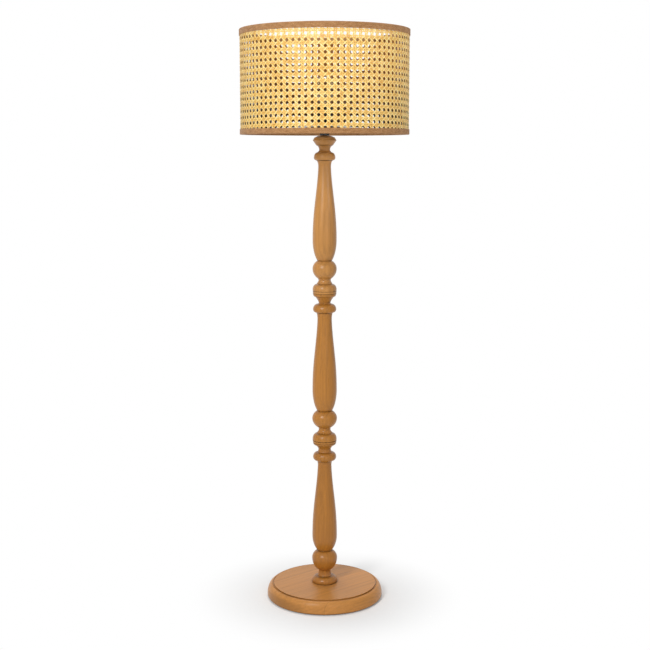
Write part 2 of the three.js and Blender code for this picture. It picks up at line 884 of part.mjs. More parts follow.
// Tape folded over a rim: outside band, edge and inside band, as for the lower rim
const foldedTape = turned(
  [
    [innerBandInner, 0],
    [shadeRadius, 0],
    [shadeRadius, bandHeight],
    [shadeRadius - tapeThickness, bandHeight],
    [shadeRadius - tapeThickness, tapeThickness],
    [innerBandOuter, tapeThickness],
    [innerBandOuter, innerBandHeight],
    [innerBandInner, innerBandHeight],
  ],
  shadeSides,
);
const armHoles = armAngles.map((angle) => armAt(angle, wireRadius + gap));
add(shade, "bottom_tape", cut(foldedTape, armHoles), tape());
add(shade, "top_tape", foldedTape.clone().rotateX(Math.PI), tape(), 0, 0, shadeHeight);

// Tape over the seam at the back, folded on the corner of the drum there
function seamTape() {
  const facet = (2 * Math.PI) / shadeSides;
  const corner = (radius, side) => {
    const middlePoint = new THREE.Vector2(0, radius);
    const nextPoint = new THREE.Vector2(radius * Math.sin(facet) * side, radius * Math.cos(facet));
    return middlePoint.lerp(nextPoint, seamWidth / 2 / (2 * radius * Math.sin(facet / 2)));
  };
  const inside = shadeRadius - tapeThickness;
  const outline = new THREE.Shape([
    corner(inside, -1),
    new THREE.Vector2(0, inside),
    corner(inside, 1),
    corner(shadeRadius, 1),
    new THREE.Vector2(0, shadeRadius),
    corner(shadeRadius, -1),
  ]);
  const depth = shadeHeight - 2 * (bandHeight + gap);
  return new THREE.ExtrudeGeometry(outline, { depth, bevelEnabled: false });
}
add(shade, "seam_tape", seamTape(), tape(), 0, 0, bandHeight + gap);

// Bulb, from its contact upwards
const bulbContact = turned(
  [
    [0, 0],
    [bulbTipRadius, 0],
    [bulbTipRadius, bulbTipHeight],
    [bulbInsulatorRadius, bulbTipHeight + bulbInsulatorHeight],
    [0, bulbTipHeight + bulbInsulatorHeight],
  ],
  fittingSides,
);
add(bulb, "bulb_contact", bulbContact, blackPlastic());

const bulbCapFoot = bulbTipHeight + bulbInsulatorHeight + gap;
const bulbCapTop = bulbCapFoot + bulbCapLength;
const capBore = bulbCapRadius - bulbCapWall;
const bulbCap = turned(
  [
    [bulbCapHoleRadius, bulbCapFoot],
    [bulbCapRadius - bulbCapWall, bulbCapFoot],
    [bulbCapRadius, bulbCapFoot + bulbCapWall],
    [bulbCapRadius, bulbCapTop],
    [capBore, bulbCapTop],
    [capBore, bulbCapFoot + 2 * bulbCapWall],
    [bulbCapHoleRadius, bulbCapFoot + bulbCapWall],
  ],
  fittingSides,
);
add(bulb, "bulb_cap", bulbCap, brass());

// Glass wall: the outline of its outside or, by the thickness, of its inside
function glassProfile(inset) {
  const neck = capBore - gap - inset;
  const profile = new Profile(neck, bulbCapTop - glassOverlap)
    .line(neck, glassOverlap)
    .line(glassNeckRadius - inset, glassNeckHeight);
  const swellWidth = glassRadius - glassNeckRadius;
  profile.bezier(
    swellWidth * quarterShare,
    glassSwellHeight * quarterShare,
    0,
    glassSwellHeight * quarterShare,
    swellWidth,
    glassSwellHeight,
    ballCurve,
  );
  const crown = glassCrownHeight - inset;
  const across = profile.end.x;
  profile.bezier(0, crown * crownShare, -across * crownShare, 0, -across, crown, ballCurve);
  profile.end.x = 0;
  return profile.points;
}
const bulbGlass = turned([...glassProfile(glassWall).reverse(), ...glassProfile(0)], bulbSides);
add(bulb, "bulb_glass", bulbGlass, glass());

const stemFoot = bulbCapTop - glassOverlap;
const stemTop = stemFoot + stemLength;
const bulbStem = turned(
  new Profile(0, stemFoot)
    .line(capBore - gap - glassWall - gap, 0)
    .line(capBore - gap - glassWall - gap, stemFlangeThickness)
    .level(stemRadius, stemLength / 2)
    .line(stemRadius, stemLength / 2 - stemFlangeThickness)
    .line(0, 0).points,
  bulbSides,
);
add(bulb, "bulb_stem", bulbStem, glass());

// Filament: a zigzag held up by two lead wires that stand on the stem
function filament() {
  const foot = stemTop + gap;
  const leadHalf = stemRadius / 2;
  const points = [new THREE.Vector3(-leadHalf, 0, foot)];
  for (let i = 0; i < filamentPoints; i++) {
    const along = i / (filamentPoints - 1) - 1 / 2;
    const drop = i % 2 ? filamentRise / 2 : 0;
    points.push(new THREE.Vector3(along * filamentSpan, 0, foot + filamentRise - drop));
  }
  points.push(new THREE.Vector3(leadHalf, 0, foot));
  return wire(new THREE.CatmullRomCurve3(points), filamentRadius, filamentSides, filamentSteps);
}
add(bulb, "bulb_filament", filament(), steel());

export default root;
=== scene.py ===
"""Looks of the rattan floor lamp: turned wood, woven cane, linen tape, holder and bulb."""

import math

import bpy
import numpy as np
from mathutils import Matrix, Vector


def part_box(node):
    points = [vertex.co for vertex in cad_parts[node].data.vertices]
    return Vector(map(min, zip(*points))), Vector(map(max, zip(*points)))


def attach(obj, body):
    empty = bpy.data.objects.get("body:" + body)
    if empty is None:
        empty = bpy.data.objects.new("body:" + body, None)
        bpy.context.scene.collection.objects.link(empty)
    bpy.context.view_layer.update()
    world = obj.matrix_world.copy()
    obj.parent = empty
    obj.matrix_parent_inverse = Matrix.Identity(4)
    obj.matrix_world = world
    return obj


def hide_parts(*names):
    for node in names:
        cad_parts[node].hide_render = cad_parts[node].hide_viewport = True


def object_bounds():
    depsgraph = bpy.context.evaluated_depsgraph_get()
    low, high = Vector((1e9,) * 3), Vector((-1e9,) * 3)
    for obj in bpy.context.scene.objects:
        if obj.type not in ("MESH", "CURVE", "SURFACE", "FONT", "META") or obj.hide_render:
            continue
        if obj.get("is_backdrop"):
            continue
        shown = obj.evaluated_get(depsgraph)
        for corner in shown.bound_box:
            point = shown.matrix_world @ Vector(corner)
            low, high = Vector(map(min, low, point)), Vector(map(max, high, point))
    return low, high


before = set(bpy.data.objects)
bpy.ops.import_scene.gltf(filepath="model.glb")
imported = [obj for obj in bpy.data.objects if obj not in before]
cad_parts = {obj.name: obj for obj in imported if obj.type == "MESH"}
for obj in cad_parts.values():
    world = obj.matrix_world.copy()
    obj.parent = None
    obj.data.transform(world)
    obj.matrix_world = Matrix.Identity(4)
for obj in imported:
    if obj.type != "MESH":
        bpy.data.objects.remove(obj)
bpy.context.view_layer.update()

MM = 0.001
TURN = 2 * math.pi
FRONT = -TURN / 4
BACK = TURN / 4

# Camera, at the photograph's place: level with the column's upper length, looking a little down
CAMERA_PLACE = (0.001, -3.233, 1.2455)
CAMERA_PITCH = 8.32
CAMERA_LENS = 65.89
SENSOR_WIDTH = 36
NEAREST, FARTHEST = 0.05, 60

camera = bpy.data.objects.new("camera", bpy.data.cameras.new("camera"))
bpy.context.scene.collection.objects.link(camera)
camera.location = CAMERA_PLACE
camera.rotation_euler = (math.radians(90 - CAMERA_PITCH), 0, 0)
camera.data.lens = CAMERA_LENS
camera.data.sensor_width = SENSOR_WIDTH
camera.data.clip_start = NEAREST
camera.data.clip_end = FARTHEST
bpy.context.scene.camera = camera
bpy.context.scene.view_settings.view_transform = "Standard"


# Meshes, in millimetres

SHARP_FROM, ROUNDED_FROM = 32, 22
CORNER_SHARE = 0.4
CORNER_STEPS = (0, 0.25, 0.5, 0.75, 1)
SIDEWAYS = (0.123, 0.456, 0.881)
COINCIDENT = 1e-6


def finish_mesh(mesh, sharp):
    mesh.polygons.foreach_set("use_smooth", [True] * len(mesh.polygons))
    mesh.set_sharp_from_angle(angle=math.radians(sharp))
    mesh.update()


def plain_object(name, verts, faces):
    mesh = bpy.data.meshes.new(name)
    mesh.from_pydata((np.asarray(verts, float) * MM).tolist(), [], faces)
    obj = bpy.data.objects.new(name, mesh)
    bpy.context.scene.collection.objects.link(obj)
    return obj


def piece(name, shape, materials, body, node, sharp=SHARP_FROM, choice=None, cutters=()):
    """A mesh that rides on a body and stands for a node. Cutters are shapes taken out of it, and a
    choice gives the number of each face's material."""
    obj = plain_object(name, *shape)
    for material in materials if isinstance(materials, tuple) else (materials,):
        obj.data.materials.append(material)
    if choice is not None:
        obj.data.polygons.foreach_set("material_index", choice)
    for cutter in cutters:
        tool = plain_object(name + "_cutter", *cutter)
        cut = obj.modifiers.new("cut", "BOOLEAN")
        cut.operation = "DIFFERENCE"
        cut.solver = "EXACT"
        cut.object = tool
        bpy.context.view_layer.update()
        evaluated = obj.evaluated_get(bpy.context.evaluated_depsgraph_get())
        done = bpy.data.meshes.new_from_object(evaluated)
        obj.modifiers.remove(cut)
        obj.data = done
        bpy.data.objects.remove(tool)
    finish_mesh(obj.data, sharp)
    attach(obj, body)
    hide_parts(node)


def softened(points, reach):
    """An outline with its sharp corners rounded, each over a short reach."""
    result = []
    for i, corner in enumerate(points):
        here = np.array(corner, float)
        back = np.array(points[i - 1], float) - here
        ahead = np.array(points[(i + 1) % len(points)], float) - here
        lengths = np.linalg.norm(back), np.linalg.norm(ahead)
        if min(lengths) < COINCIDENT or here[0] == 0:
            result.append(tuple(here))
            continue
        cosine = -np.dot(back, ahead) / (lengths[0] * lengths[1])
        if math.degrees(math.acos(max(-1, min(1, cosine)))) < ROUNDED_FROM:
            result.append(tuple(here))
            continue
        start = here + back / lengths[0] * min(reach, lengths[0] * CORNER_SHARE)
        end = here + ahead / lengths[1] * min(reach, lengths[1] * CORNER_SHARE)
        for t in CORNER_STEPS:
            result.append(tuple((1 - t) ** 2 * start + 2 * t * (1 - t) * here + t * t * end))
    return result


def lathe(outline, sides, place=(0, 0, 0), wave=None):
    """An outline of (radius, height) turned about the Z axis. It ends on the axis or closes on
    itself. A wave is a depth and a pitch, for a rolled thread."""
    points = [tuple(p) for p in outline]
    if sum(a[0] * b[1] - b[0] * a[1] for a, b in zip(points, points[1:] + points[:1])) < 0:
        points.reverse()
    verts, rows = [], []
    for radius, z in points:
        count = 1 if radius == 0 else sides
        rows.append(list(range(len(verts), len(verts) + count)))
        for i in range(count):
            a = TURN * i / sides
            r = radius + (wave[0] * math.cos(TURN * z / wave[1] - a) if wave and radius else 0)
            verts.append((place[0] + r * math.cos(a), place[1] + r * math.sin(a), place[2] + z))
    pairs = list(zip(rows, rows[1:]))
    if points[0][0] != 0 or points[-1][0] != 0:
        pairs.append((rows[-1], rows[0]))
    faces = []
    for low, high in pairs:
        for i in range(sides):
            j = (i + 1) % sides
            if len(low) == 1 and len(high) > 1:
                faces.append((low[0], high[j], high[i]))
            elif len(high) == 1 and len(low) > 1:
                faces.append((low[i], low[j], high[0]))
            elif len(low) > 1:
                faces.append((low[i], low[j], high[j], high[i]))
    return verts, faces


def ring(inner, outer, low, high):
    """The outline of a ring."""
    return [(inner, low), (outer, low), (outer, high), (inner, high)]


def sweep(points, radius, sides, closed=False):
    """A round wire along a path."""
    path = np.asarray(points, float)
    count = len(path)
    if closed:
        along = np.roll(path, -1, 0) - np.roll(path, 1, 0)
    else:
        along = np.gradient(path, axis=0)
    along /= np.linalg.norm(along, axis=1)[:, None]
    side = np.cross(along[0], SIDEWAYS)
    verts = []
    for i in range(count):
        side = side - along[i] * np.dot(side, along[i])
        side /= np.linalg.norm(side)
        other = np.cross(along[i], side)
        for k in range(sides):
            a = TURN * k / sides
            verts.append(path[i] + radius * (math.cos(a) * side + math.sin(a) * other))
    faces = []
    for i in range(count if closed else count - 1):
        a, b = i * sides, ((i + 1) % count) * sides
        for k in range(sides):
            m = (k + 1) % sides
            faces.append((a + k, a + m, b + m, b + k))
    if not closed:
        faces.append(tuple(reversed(range(sides))))
        faces.append(tuple((count - 1) * sides + k for k in range(sides)))
    return verts, faces


def turned_to_y(shape, place):
    """A shape's Z axis laid along Y, and its origin put at a place."""
    verts, faces = shape
    return [(place[0] + x, place[1] + z, place[2] - y) for x, y, z in verts], faces


class Profile:
    """A turned outline, followed upwards. Most moves are given the radius that they end at and
    their rise."""

    QUARTER = 0.5523
    NECK_UPRIGHT, NECK_ACROSS, NECK_UP = 0.28, 0.33, 0.2
    TAPER_LEAVE, TAPER_ACROSS, TAPER_UP, TAPER_DIVISIONS = 0.42, 0.2, 0.35, 30
    CREASE_DEPTH, CREASE_HEIGHT = 1.3, 1.2

    def __init__(self, radius, z):
        self.points = [(radius, z)]

    @property
    def end(self):
        return self.points[-1]

    def line(self, radius, rise):
        self.points.append((radius, self.end[1] + rise))
        return self

    def bezier(self, ax, ay, bx, by, dx, dy, divisions=14):
        """A curve that leaves along a, arrives along b and ends at d, all from where it starts."""
        x, y = self.end
        p = np.array([(x, y), (x + ax, y + ay), (x + dx - bx, y + dy - by), (x + dx, y + dy)])
        for i in range(1, divisions + 1):
            t = i / divisions
            weights = np.array([(1 - t) ** 3, 3 * t * (1 - t) ** 2, 3 * t * t * (1 - t), t**3])
            self.points.append(tuple(weights @ p))
        return self

    def upright(self, radius, rise):
        """A quarter of an ellipse that starts upright and ends level."""
        across = radius - self.end[0]
        return self.bezier(0, self.QUARTER * rise, self.QUARTER * across, 0, across, rise)

    def level(self, radius, rise):
        """A quarter of an ellipse that starts level and ends upright."""
        across = radius - self.end[0]
        return self.bezier(self.QUARTER * across, 0, 0, self.QUARTER * rise, across, rise)

    def arc(self, centre_z, radius, height, first, last, divisions=16):
        for i in range(1, divisions + 1):
            t = first + (last - first) * i / divisions
            self.points.append((radius * math.cos(t), centre_z + height * math.sin(t)))
        return self

    def swell(self, radius, rise):
        """The lower part of a ball, up to its widest place."""
        x, y = self.end
        angle = math.acos(x / radius)
        return self.arc(y + rise, radius, rise / math.sin(angle), -angle, 0)

    def close(self, radius, rise):
        """The upper part of a ball, from its widest place."""
        x, y = self.end
        angle = math.acos(radius / x)
        return self.arc(y, x, rise / math.sin(angle), 0, angle)

    def into_neck(self, radius, rise):
        """A slope that ends upright in a neck."""
        x = radius - self.end[0]
        slope = self.NECK_ACROSS * x, self.NECK_UP * rise
        return self.bezier(*slope, 0, self.NECK_UPRIGHT * rise, x, rise)

    def out_of_neck(self, radius, rise):
        """A slope that starts upright in a neck."""
        x = radius - self.end[0]
        slope = self.NECK_ACROSS * x, self.NECK_UP * rise
        return self.bezier(0, self.NECK_UPRIGHT * rise, *slope, x, rise)

    def crease(self, radius):
        """A fine V cut beside a moulding."""
        half = self.CREASE_HEIGHT / 2
        return self.line(radius - self.CREASE_DEPTH, half).line(radius, half)

    def taper(self, radius, rise):
        """A long taper that starts upright."""
        x = radius - self.end[0]
        slope = self.TAPER_ACROSS * x, self.TAPER_UP * rise
        return self.bezier(0, self.TAPER_LEAVE * rise, *slope, x, rise, self.TAPER_DIVISIONS)


# Materials


class Shader:
    """A node material round one Principled shader."""

    def __init__(self, name, **sockets):
        self.material = bpy.data.materials.new(name)
        self.material.use_nodes = True
        self.tree = self.material.node_tree
        self.bsdf = self.tree.nodes["Principled BSDF"]
        for socket, value in sockets.items():
            self.bsdf.inputs[socket.replace("_", " ")].default_value = value
        coordinates = self.add("TexCoord")
        self.object_space = coordinates.outputs["Object"]
        self.normal = coordinates.outputs["Normal"]

    def add(self, kind, settings=None, **inputs):
        node = self.tree.nodes.new("ShaderNode" + kind)
        for key, value in (settings or {}).items():
            setattr(node, key, value)
        for key, value in inputs.items():
            self.feed(node.inputs[key.replace("_", " ")], value)
        return node

    def feed(self, socket, value):
        if isinstance(value, bpy.types.NodeSocket):
            self.tree.links.new(value, socket)
        else:
            socket.default_value = value

    def math(self, operation, a, b=0.0):
        node = self.add("Math", {"operation": operation})
        self.feed(node.inputs[0], a)
        self.feed(node.inputs[1], b)
        return node.outputs[0]

    def total(self, *parts):
        """The sum of values, each given with its weight."""
        result = 0.0
        for value, weight in parts:
            result = self.math("ADD", self.math("MULTIPLY", value, weight), result)
        return result

    def mapping(self, scale=(1, 1, 1), location=(0, 0, 0), rotation=(0, 0, 0), vector=None):
        node = self.add("Mapping", Vector=vector or self.object_space)
        node.inputs["Scale"].default_value = scale
        node.inputs["Location"].default_value = location
        node.inputs["Rotation"].default_value = rotation
        return node.outputs[0]

    def noise(self, scale, detail=3.0, roughness=0.55, vector=None):
        scaled = self.mapping(scale if isinstance(scale, tuple) else (scale,) * 3, vector=vector)
        node = self.add("TexNoise", Vector=scaled, Scale=1.0, Detail=detail, Roughness=roughness)
        return node.outputs[0]

    def ramp(self, factor, *stops):
        node = self.add("ValToRGB", Fac=factor)
        elements = node.color_ramp.elements
        while len(elements) < len(stops):
            elements.new(0.5)
        for element, (position, colour) in zip(elements, stops):
            element.position = position
            element.color = (*colour, 1)
        return node.outputs[0]

    def span(self, value, low, high, to_low=0.0, to_high=1.0, smooth=False):
        kind = {"interpolation_type": "SMOOTHSTEP"} if smooth else None
        node = self.add("MapRange", kind, Value=value)
        ends = {"From Min": low, "From Max": high, "To Min": to_low, "To Max": to_high}
        for key, number in ends.items():
            node.inputs[key].default_value = number
        return node.outputs[0]

    def mix(self, factor, a, b):
        node = self.add("Mix", {"data_type": "RGBA"})
        self.feed(node.inputs[0], factor)
        self.feed(node.inputs[6], a)
        self.feed(node.inputs[7], (*b, 1) if isinstance(b, tuple) else b)
        return node.outputs[2]

    def separate(self, vector):
        return self.add("SeparateXYZ", Vector=vector).outputs[:3]

    def colour(self, value):
        self.feed(self.bsdf.inputs["Base Color"], value)

    def roughness(self, value):
        self.feed(self.bsdf.inputs["Roughness"], value)

    def bump(self, height, distance, strength=0.5):
        node = self.add("Bump", Height=height, Distance=distance, Strength=strength)
        self.feed(self.bsdf.inputs["Normal"], node.outputs[0])


def rgb(red, green, blue):
    """A colour given as it shows, from 0 to 255, in the linear values that Blender works in."""
    values = [c / 255 for c in (red, green, blue)]
    return tuple(c / 12.92 if c <= 0.04045 else ((c + 0.055) / 1.055) ** 2.4 for c in values)


def shade_of(colour, share):
    """A darker or lighter shade of a colour given from 0 to 255."""
    return rgb(*(min(255, c * share) for c in colour))


RING_SPACING = 0.0078
SEAM_HALF_WIDTH = 0.0006
HOLLOW_REACH = 0.009


def wood(name, tint, rotation=(0, 0, 0), pith=(0.07, 0.12), shift=0.0, seams=(), **sockets):
    """Lacquered wood, painted darker in its hollows and creases as shade. Its grain runs along Z
    before the rotation, with glued seams at places along X."""
    s = Shader(name, **sockets)
    grain = s.mapping(rotation=rotation, location=(0, 0, shift))
    x, y, _ = s.separate(grain)
    board = 0.0
    for i, place in enumerate(seams):
        board = s.total((s.math("GREATER_THAN", x, place), 0.31 + 0.17 * i), (board, 1))
    slow = s.noise((5, 5, 1.1), 2, vector=grain)
    drift = s.math("MULTIPLY", s.math("SUBTRACT", slow, 0.5), 0.05)
    from_pith = s.add(
        "CombineXYZ",
        X=s.total((x, 1), (drift, 1), (board, 0.11), (pith[0], 1)),
        Y=s.total((y, 1), (board, 0.2), (pith[1], 1)),
    ).outputs[0]
    reach = s.add("VectorMath", {"operation": "LENGTH"}, Vector=from_pith).outputs["Value"]
    years = s.math("MULTIPLY", s.math("ADD", reach, drift), TURN / RING_SPACING)
    rings = s.span(s.math("SINE", years), -1, 1)
    fibre = s.noise((620, 620, 7), 5, 0.6, grain)
    streak = s.noise((130, 130, 1.6), 3, 0.5, grain)
    flecks = s.noise((1500, 1500, 70), 2, vector=grain)
    cloud = s.noise((24, 24, 2.6), 3, vector=grain)
    tone = s.total((rings, 0.06), (fibre, 0.35), (streak, 0.36), (cloud, 0.28), (board, 0.06))
    low, high = shade_of(tint, 0.88), shade_of(tint, 1.1)
    colour = s.ramp(tone, (0.32, low), (0.5, rgb(*tint)), (0.7, high))
    dark = s.span(flecks, 0.6, 0.74)
    colour = s.mix(s.math("MULTIPLY", dark, 0.22), colour, shade_of(tint, 0.62))

    facing = s.mapping(rotation=rotation, vector=s.normal)
    along = s.add("VectorMath", {"operation": "ABSOLUTE"}, Vector=facing).outputs[0]
    end_grain = s.span(s.separate(along)[2], 0.8, 0.99, smooth=True)
    colour = s.mix(s.math("MULTIPLY", end_grain, 0.5), colour, shade_of(tint, 0.68))
    for place in seams:
        distance = s.math("ABSOLUTE", s.math("SUBTRACT", x, place))
        seam = s.math("LESS_THAN", distance, SEAM_HALF_WIDTH)
        colour = s.mix(s.math("MULTIPLY", seam, 0.3), colour, shade_of(tint, 0.6))
    # Painted shade: ambient occlusion darkens the wood in hollows and creases, where shade falls
    open_air = s.add("AmbientOcclusion", {"samples": 8}, Distance=HOLLOW_REACH).outputs["AO"]
    hollow_shade = s.span(open_air, 0.2, 0.9, 0.8, 0.0)
    s.colour(s.mix(hollow_shade, colour, shade_of(tint, 0.45)))
    s.roughness(s.span(fibre, 0.3, 0.7, 0.26, 0.38))
    s.bump(s.total((fibre, 0.5), (dark, -0.5)), 0.0001)
    return s.material


DRUM_FOOT, DRUM_SHOULDER = 1.3, 1.52


def cane_material(name, streaks, low, middle, high, roughness=(0.36, 0.55), foot_shade_share=1.0):
    """Peeled cane, streaked along each strand. It may be painted darker towards the drum's foot, as
    shade.
    """
    s = Shader(name, IOR=1.45)
    large = s.noise(60)
    streak = s.noise(streaks)
    tone = s.total((large, 0.7), (streak, 0.3))
    colour = s.ramp(tone, (0.34, low), (0.5, middle), (0.66, high))
    # Painted shade, darker towards the drum's foot
    if foot_shade_share < 1:
        height = s.separate(s.object_space)[2]
        share = s.span(height, DRUM_FOOT, DRUM_SHOULDER, foot_shade_share, 1.0, smooth=True)
        scaled = s.add("VectorMath", {"operation": "SCALE"}, Vector=colour, Scale=share)
        colour = scaled.outputs[0]
    s.colour(colour)
    s.roughness(s.span(streak, 0.3, 0.7, *roughness))
    s.bump(streak, 0.00008)
    return s.material


THREAD = 0.0012
TAPED_RADIUS = 0.2262


def tape_material(name):
    """Linen tape: warp round the drum and weft across it, with slubs."""
    s = Shader(name, Sheen_Weight=0.15, Sheen_Roughness=0.5, IOR=1.35, Roughness=0.88)
    x, y, z = s.separate(s.object_space)
    uneven = s.noise((70, 70, 260))
    across = s.math("MULTIPLY", s.math("ARCTAN2", y, x), TAPED_RADIUS * TURN / THREAD)
    along = s.total((z, TURN / THREAD), (uneven, 3.0))
    warp = s.math("MULTIPLY", s.math("SINE", across), s.math("SINE", along))
    slub = s.noise((380, 380, 1300), 4)
    tone = s.total((warp, 0.14), (slub, 0.6), (uneven, 0.4))
    low, middle, high = rgb(133, 86, 47), rgb(177, 128, 80), rgb(214, 168, 118)
    s.colour(s.ramp(tone, (0.3, low), (0.5, middle), (0.72, high)))
    s.bump(s.math("ADD", warp, slub), 0.0003, 0.6)
    return s.material


def moulded(name, low, high, scale, roughness=(0.3, 0.4), bump=0.00005, **sockets):
    """A moulded, cast or plated finish that varies a little."""
    s = Shader(name, **sockets)
    blotch = s.noise(scale, 4)
    s.colour(s.ramp(blotch, (0.3, low), (0.7, high)))
    s.roughness(s.span(blotch, 0.3, 0.7, *roughness))
    s.bump(s.noise(scale * 9, 2), bump)
    return s.material


def glass_material(name):
    """Clear glass with a slight amber tint, darkened as painted shade to dim the glints seen
    through it.
    """
    s = Shader(name, IOR=1.45, Transmission_Weight=1.0)
    s.roughness(s.span(s.noise(40), 0, 1, 0.0, 0.03))
    s.colour(s.ramp(s.noise(25), (0.3, (0.72, 0.62, 0.48)), (0.7, (0.78, 0.7, 0.56))))
    return s.material


LACQUER = {"IOR": 1.4}
METAL = {"Metallic": 1.0}
# One wood in four tints: painted lighter on the upper length and the base, where more light falls,
# and darker on the lower lengths, as shade
lower_wood = wood("lower_wood", (171, 112, 43), **LACQUER)
middle_wood = wood("middle_wood", (176, 117, 47), pith=(-0.11, 0.08), shift=0.7, **LACQUER)
upper_wood = wood("upper_wood", (188, 132, 68), pith=(0.05, -0.13), shift=1.9, **LACQUER)
base_wood = wood(
    "base_wood",
    (186, 128, 67),
    rotation=(math.radians(90), math.radians(-50), 0),
    pith=(0.0, 0.21),
    seams=(-0.087, 0.018, 0.123),
    IOR=1.28,
)
# The uprights and rounds lie under the diagonals and are painted darker and more orange than them,
# as shade
STRAIGHT = rgb(224, 162, 68), rgb(242, 191, 96), rgb(251, 214, 128)
SLANTED = rgb(245, 200, 110), rgb(254, 225, 146), rgb(255, 238, 172)
# Painted shade: the colours of the cane's inward faces, darker than the cane is
SHADED = rgb(112, 62, 20), rgb(142, 86, 34), rgb(164, 108, 50)
cane_up = cane_material("cane_up", (900, 900, 60), *STRAIGHT)
cane_round = cane_material("cane_round", (160, 160, 1500), *STRAIGHT)
cane_slant = cane_material("cane_slant", (500, 500, 300), *SLANTED)
cane_inside_shaded = cane_material("cane_inside_shaded", 400, *SHADED, (0.7, 0.85), 0.16)
linen = tape_material("linen_tape")
black = moulded("black_plastic", rgb(20, 16, 13), rgb(32, 26, 21), 90, (0.16, 0.26), IOR=1.5)
steel = moulded("zinc_steel", rgb(150, 151, 153), rgb(186, 187, 190), 220, (0.28, 0.42), **METAL)
iron = moulded("cast_iron", rgb(38, 38, 40), rgb(58, 58, 61), 300, (0.6, 0.8), 0.0003, Metallic=0.4)
brass = moulded("plain_brass", rgb(176, 138, 74), rgb(206, 168, 96), 200, (0.24, 0.36), **METAL)
ceramic = moulded("ceramic", rgb(222, 217, 205), rgb(236, 232, 222), 140, (0.4, 0.55))
coated = moulded("white_coat", rgb(218, 216, 210), rgb(234, 232, 227), 160, (0.35, 0.5))
felt = moulded("felt", rgb(60, 48, 40), rgb(90, 74, 62), 900, (0.9, 1.0), 0.0006, Sheen_Weight=0.4)
tungsten = moulded("tungsten", rgb(120, 118, 114), rgb(150, 148, 142), 400, (0.3, 0.4), **METAL)
glass = glass_material("clear_glass")


# Base

GAP = 0.3
BASE_SIDES = 200
FITTING_SIDES = 64
SMALL_SIDES = 48
PILOT_SIDES = 24
BASE_FOOT = 2
BASE_TOP = 39.8
FOOT_RADIUS, BASE_RADIUS, FOOT_ROUND = 158.1, 161.6, 6
MOULDING_RADIUS, MOULDING_HEIGHT = 147.4, 28.4
QUIRK_OUTER, QUIRK_INNER, QUIRK_DROP, QUIRK_RISE = 146.2, 143.2, 1.2, 4.6
BASE_SOFTNESS = 0.8
SOCKET_RADIUS, SOCKET_FOOT = 14.3, 33.5
ROD_WAY = 6
WASHER_RADIUS, WASHER_TOP = 22, 22.4
RECESS_RADIUS, RECESS_TOP = 110, 18
INLET_HEIGHT = 9.2
INLET_FACE = 161.2
INLET_BORE, INLET_START, INLET_END = 4.7, 106, 166
INLET_SEAT, INLET_SEAT_START = 6.7, 158.7
SCREW_CIRCLE = 66
PILOT_RADIUS, PILOT_TOP = 2.3, 28
OVERRUN = 2

base_outline = softened(
    Profile(FOOT_RADIUS, BASE_FOOT)
    .level(BASE_RADIUS, FOOT_ROUND)
    .upright(MOULDING_RADIUS, MOULDING_HEIGHT)
    .line(QUIRK_OUTER, -QUIRK_DROP)
    .line(QUIRK_INNER, 0)
    .line(QUIRK_INNER, QUIRK_RISE)
    .points,
    BASE_SOFTNESS,
) + [
    (SOCKET_RADIUS, BASE_TOP),
    (SOCKET_RADIUS, SOCKET_FOOT),
    (ROD_WAY, SOCKET_FOOT),
    (ROD_WAY, WASHER_TOP),
    (WASHER_RADIUS, WASHER_TOP),
    (WASHER_RADIUS, RECESS_TOP),
    (RECESS_RADIUS, RECESS_TOP),
    (RECESS_RADIUS, BASE_FOOT),
]
inlet = [
    (0, INLET_START),
    (INLET_BORE, INLET_START),
    (INLET_BORE, INLET_SEAT_START),
    (INLET_SEAT, INLET_SEAT_START),
    (INLET_SEAT, INLET_END),
    (0, INLET_END),
]
pilot = [
    (0, RECESS_TOP - OVERRUN),
    (PILOT_RADIUS, RECESS_TOP - OVERRUN),
    (PILOT_RADIUS, PILOT_TOP),
    (0, PILOT_TOP),
]
pilots = []
for turn in (1 / 3, 1, 5 / 3):
    angle = BACK + math.pi * turn
    place = (SCREW_CIRCLE * math.cos(angle), SCREW_CIRCLE * math.sin(angle), 0)
    pilots.append(lathe(pilot, PILOT_SIDES, place))
piece(
    "base_turning",
    lathe(base_outline, BASE_SIDES),
    base_wood,
    "stand",
    "base_disc",
    cutters=[turned_to_y(lathe(inlet, SMALL_SIDES), (0, 0, INLET_HEIGHT)), *pilots],
)

BUSH_BORE, BUSH_RADIUS, BUSH_LENGTH = 3.3, 4.4, 24
BUSH_FLANGE_RADIUS, BUSH_FLANGE = 6.4, 2.2
BUSH_SOFTNESS = 0.6
bush = [
    (BUSH_BORE, 0),
    (BUSH_FLANGE_RADIUS, 0),
    (BUSH_FLANGE_RADIUS, -BUSH_FLANGE),
    (BUSH_RADIUS, -BUSH_FLANGE),
    (BUSH_RADIUS, -BUSH_LENGTH),
    (BUSH_BORE, -BUSH_LENGTH),
]
piece(
    "inlet_bush",
    turned_to_y(lathe(softened(bush, BUSH_SOFTNESS), FITTING_SIDES), (0, INLET_FACE, INLET_HEIGHT)),
    black,
    "stand",
    "cord_bush",
)

PAD_RADIUS, PAD_THICKNESS, PAD_SOFTNESS = 12, 1.7, 0.5
pad = [(0, 0), (PAD_RADIUS, 0), (PAD_RADIUS, PAD_THICKNESS), (0, PAD_THICKNESS)]
for i in range(1, 5):
    low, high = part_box(f"felt_pad_{i}")
    centre = (low + high) / 2 / MM
    shape = lathe(softened(pad, PAD_SOFTNESS), SMALL_SIDES, (centre.x, centre.y, 0))
    piece(f"pad_{i}", shape, felt, "stand", f"felt_pad_{i}")


# Column

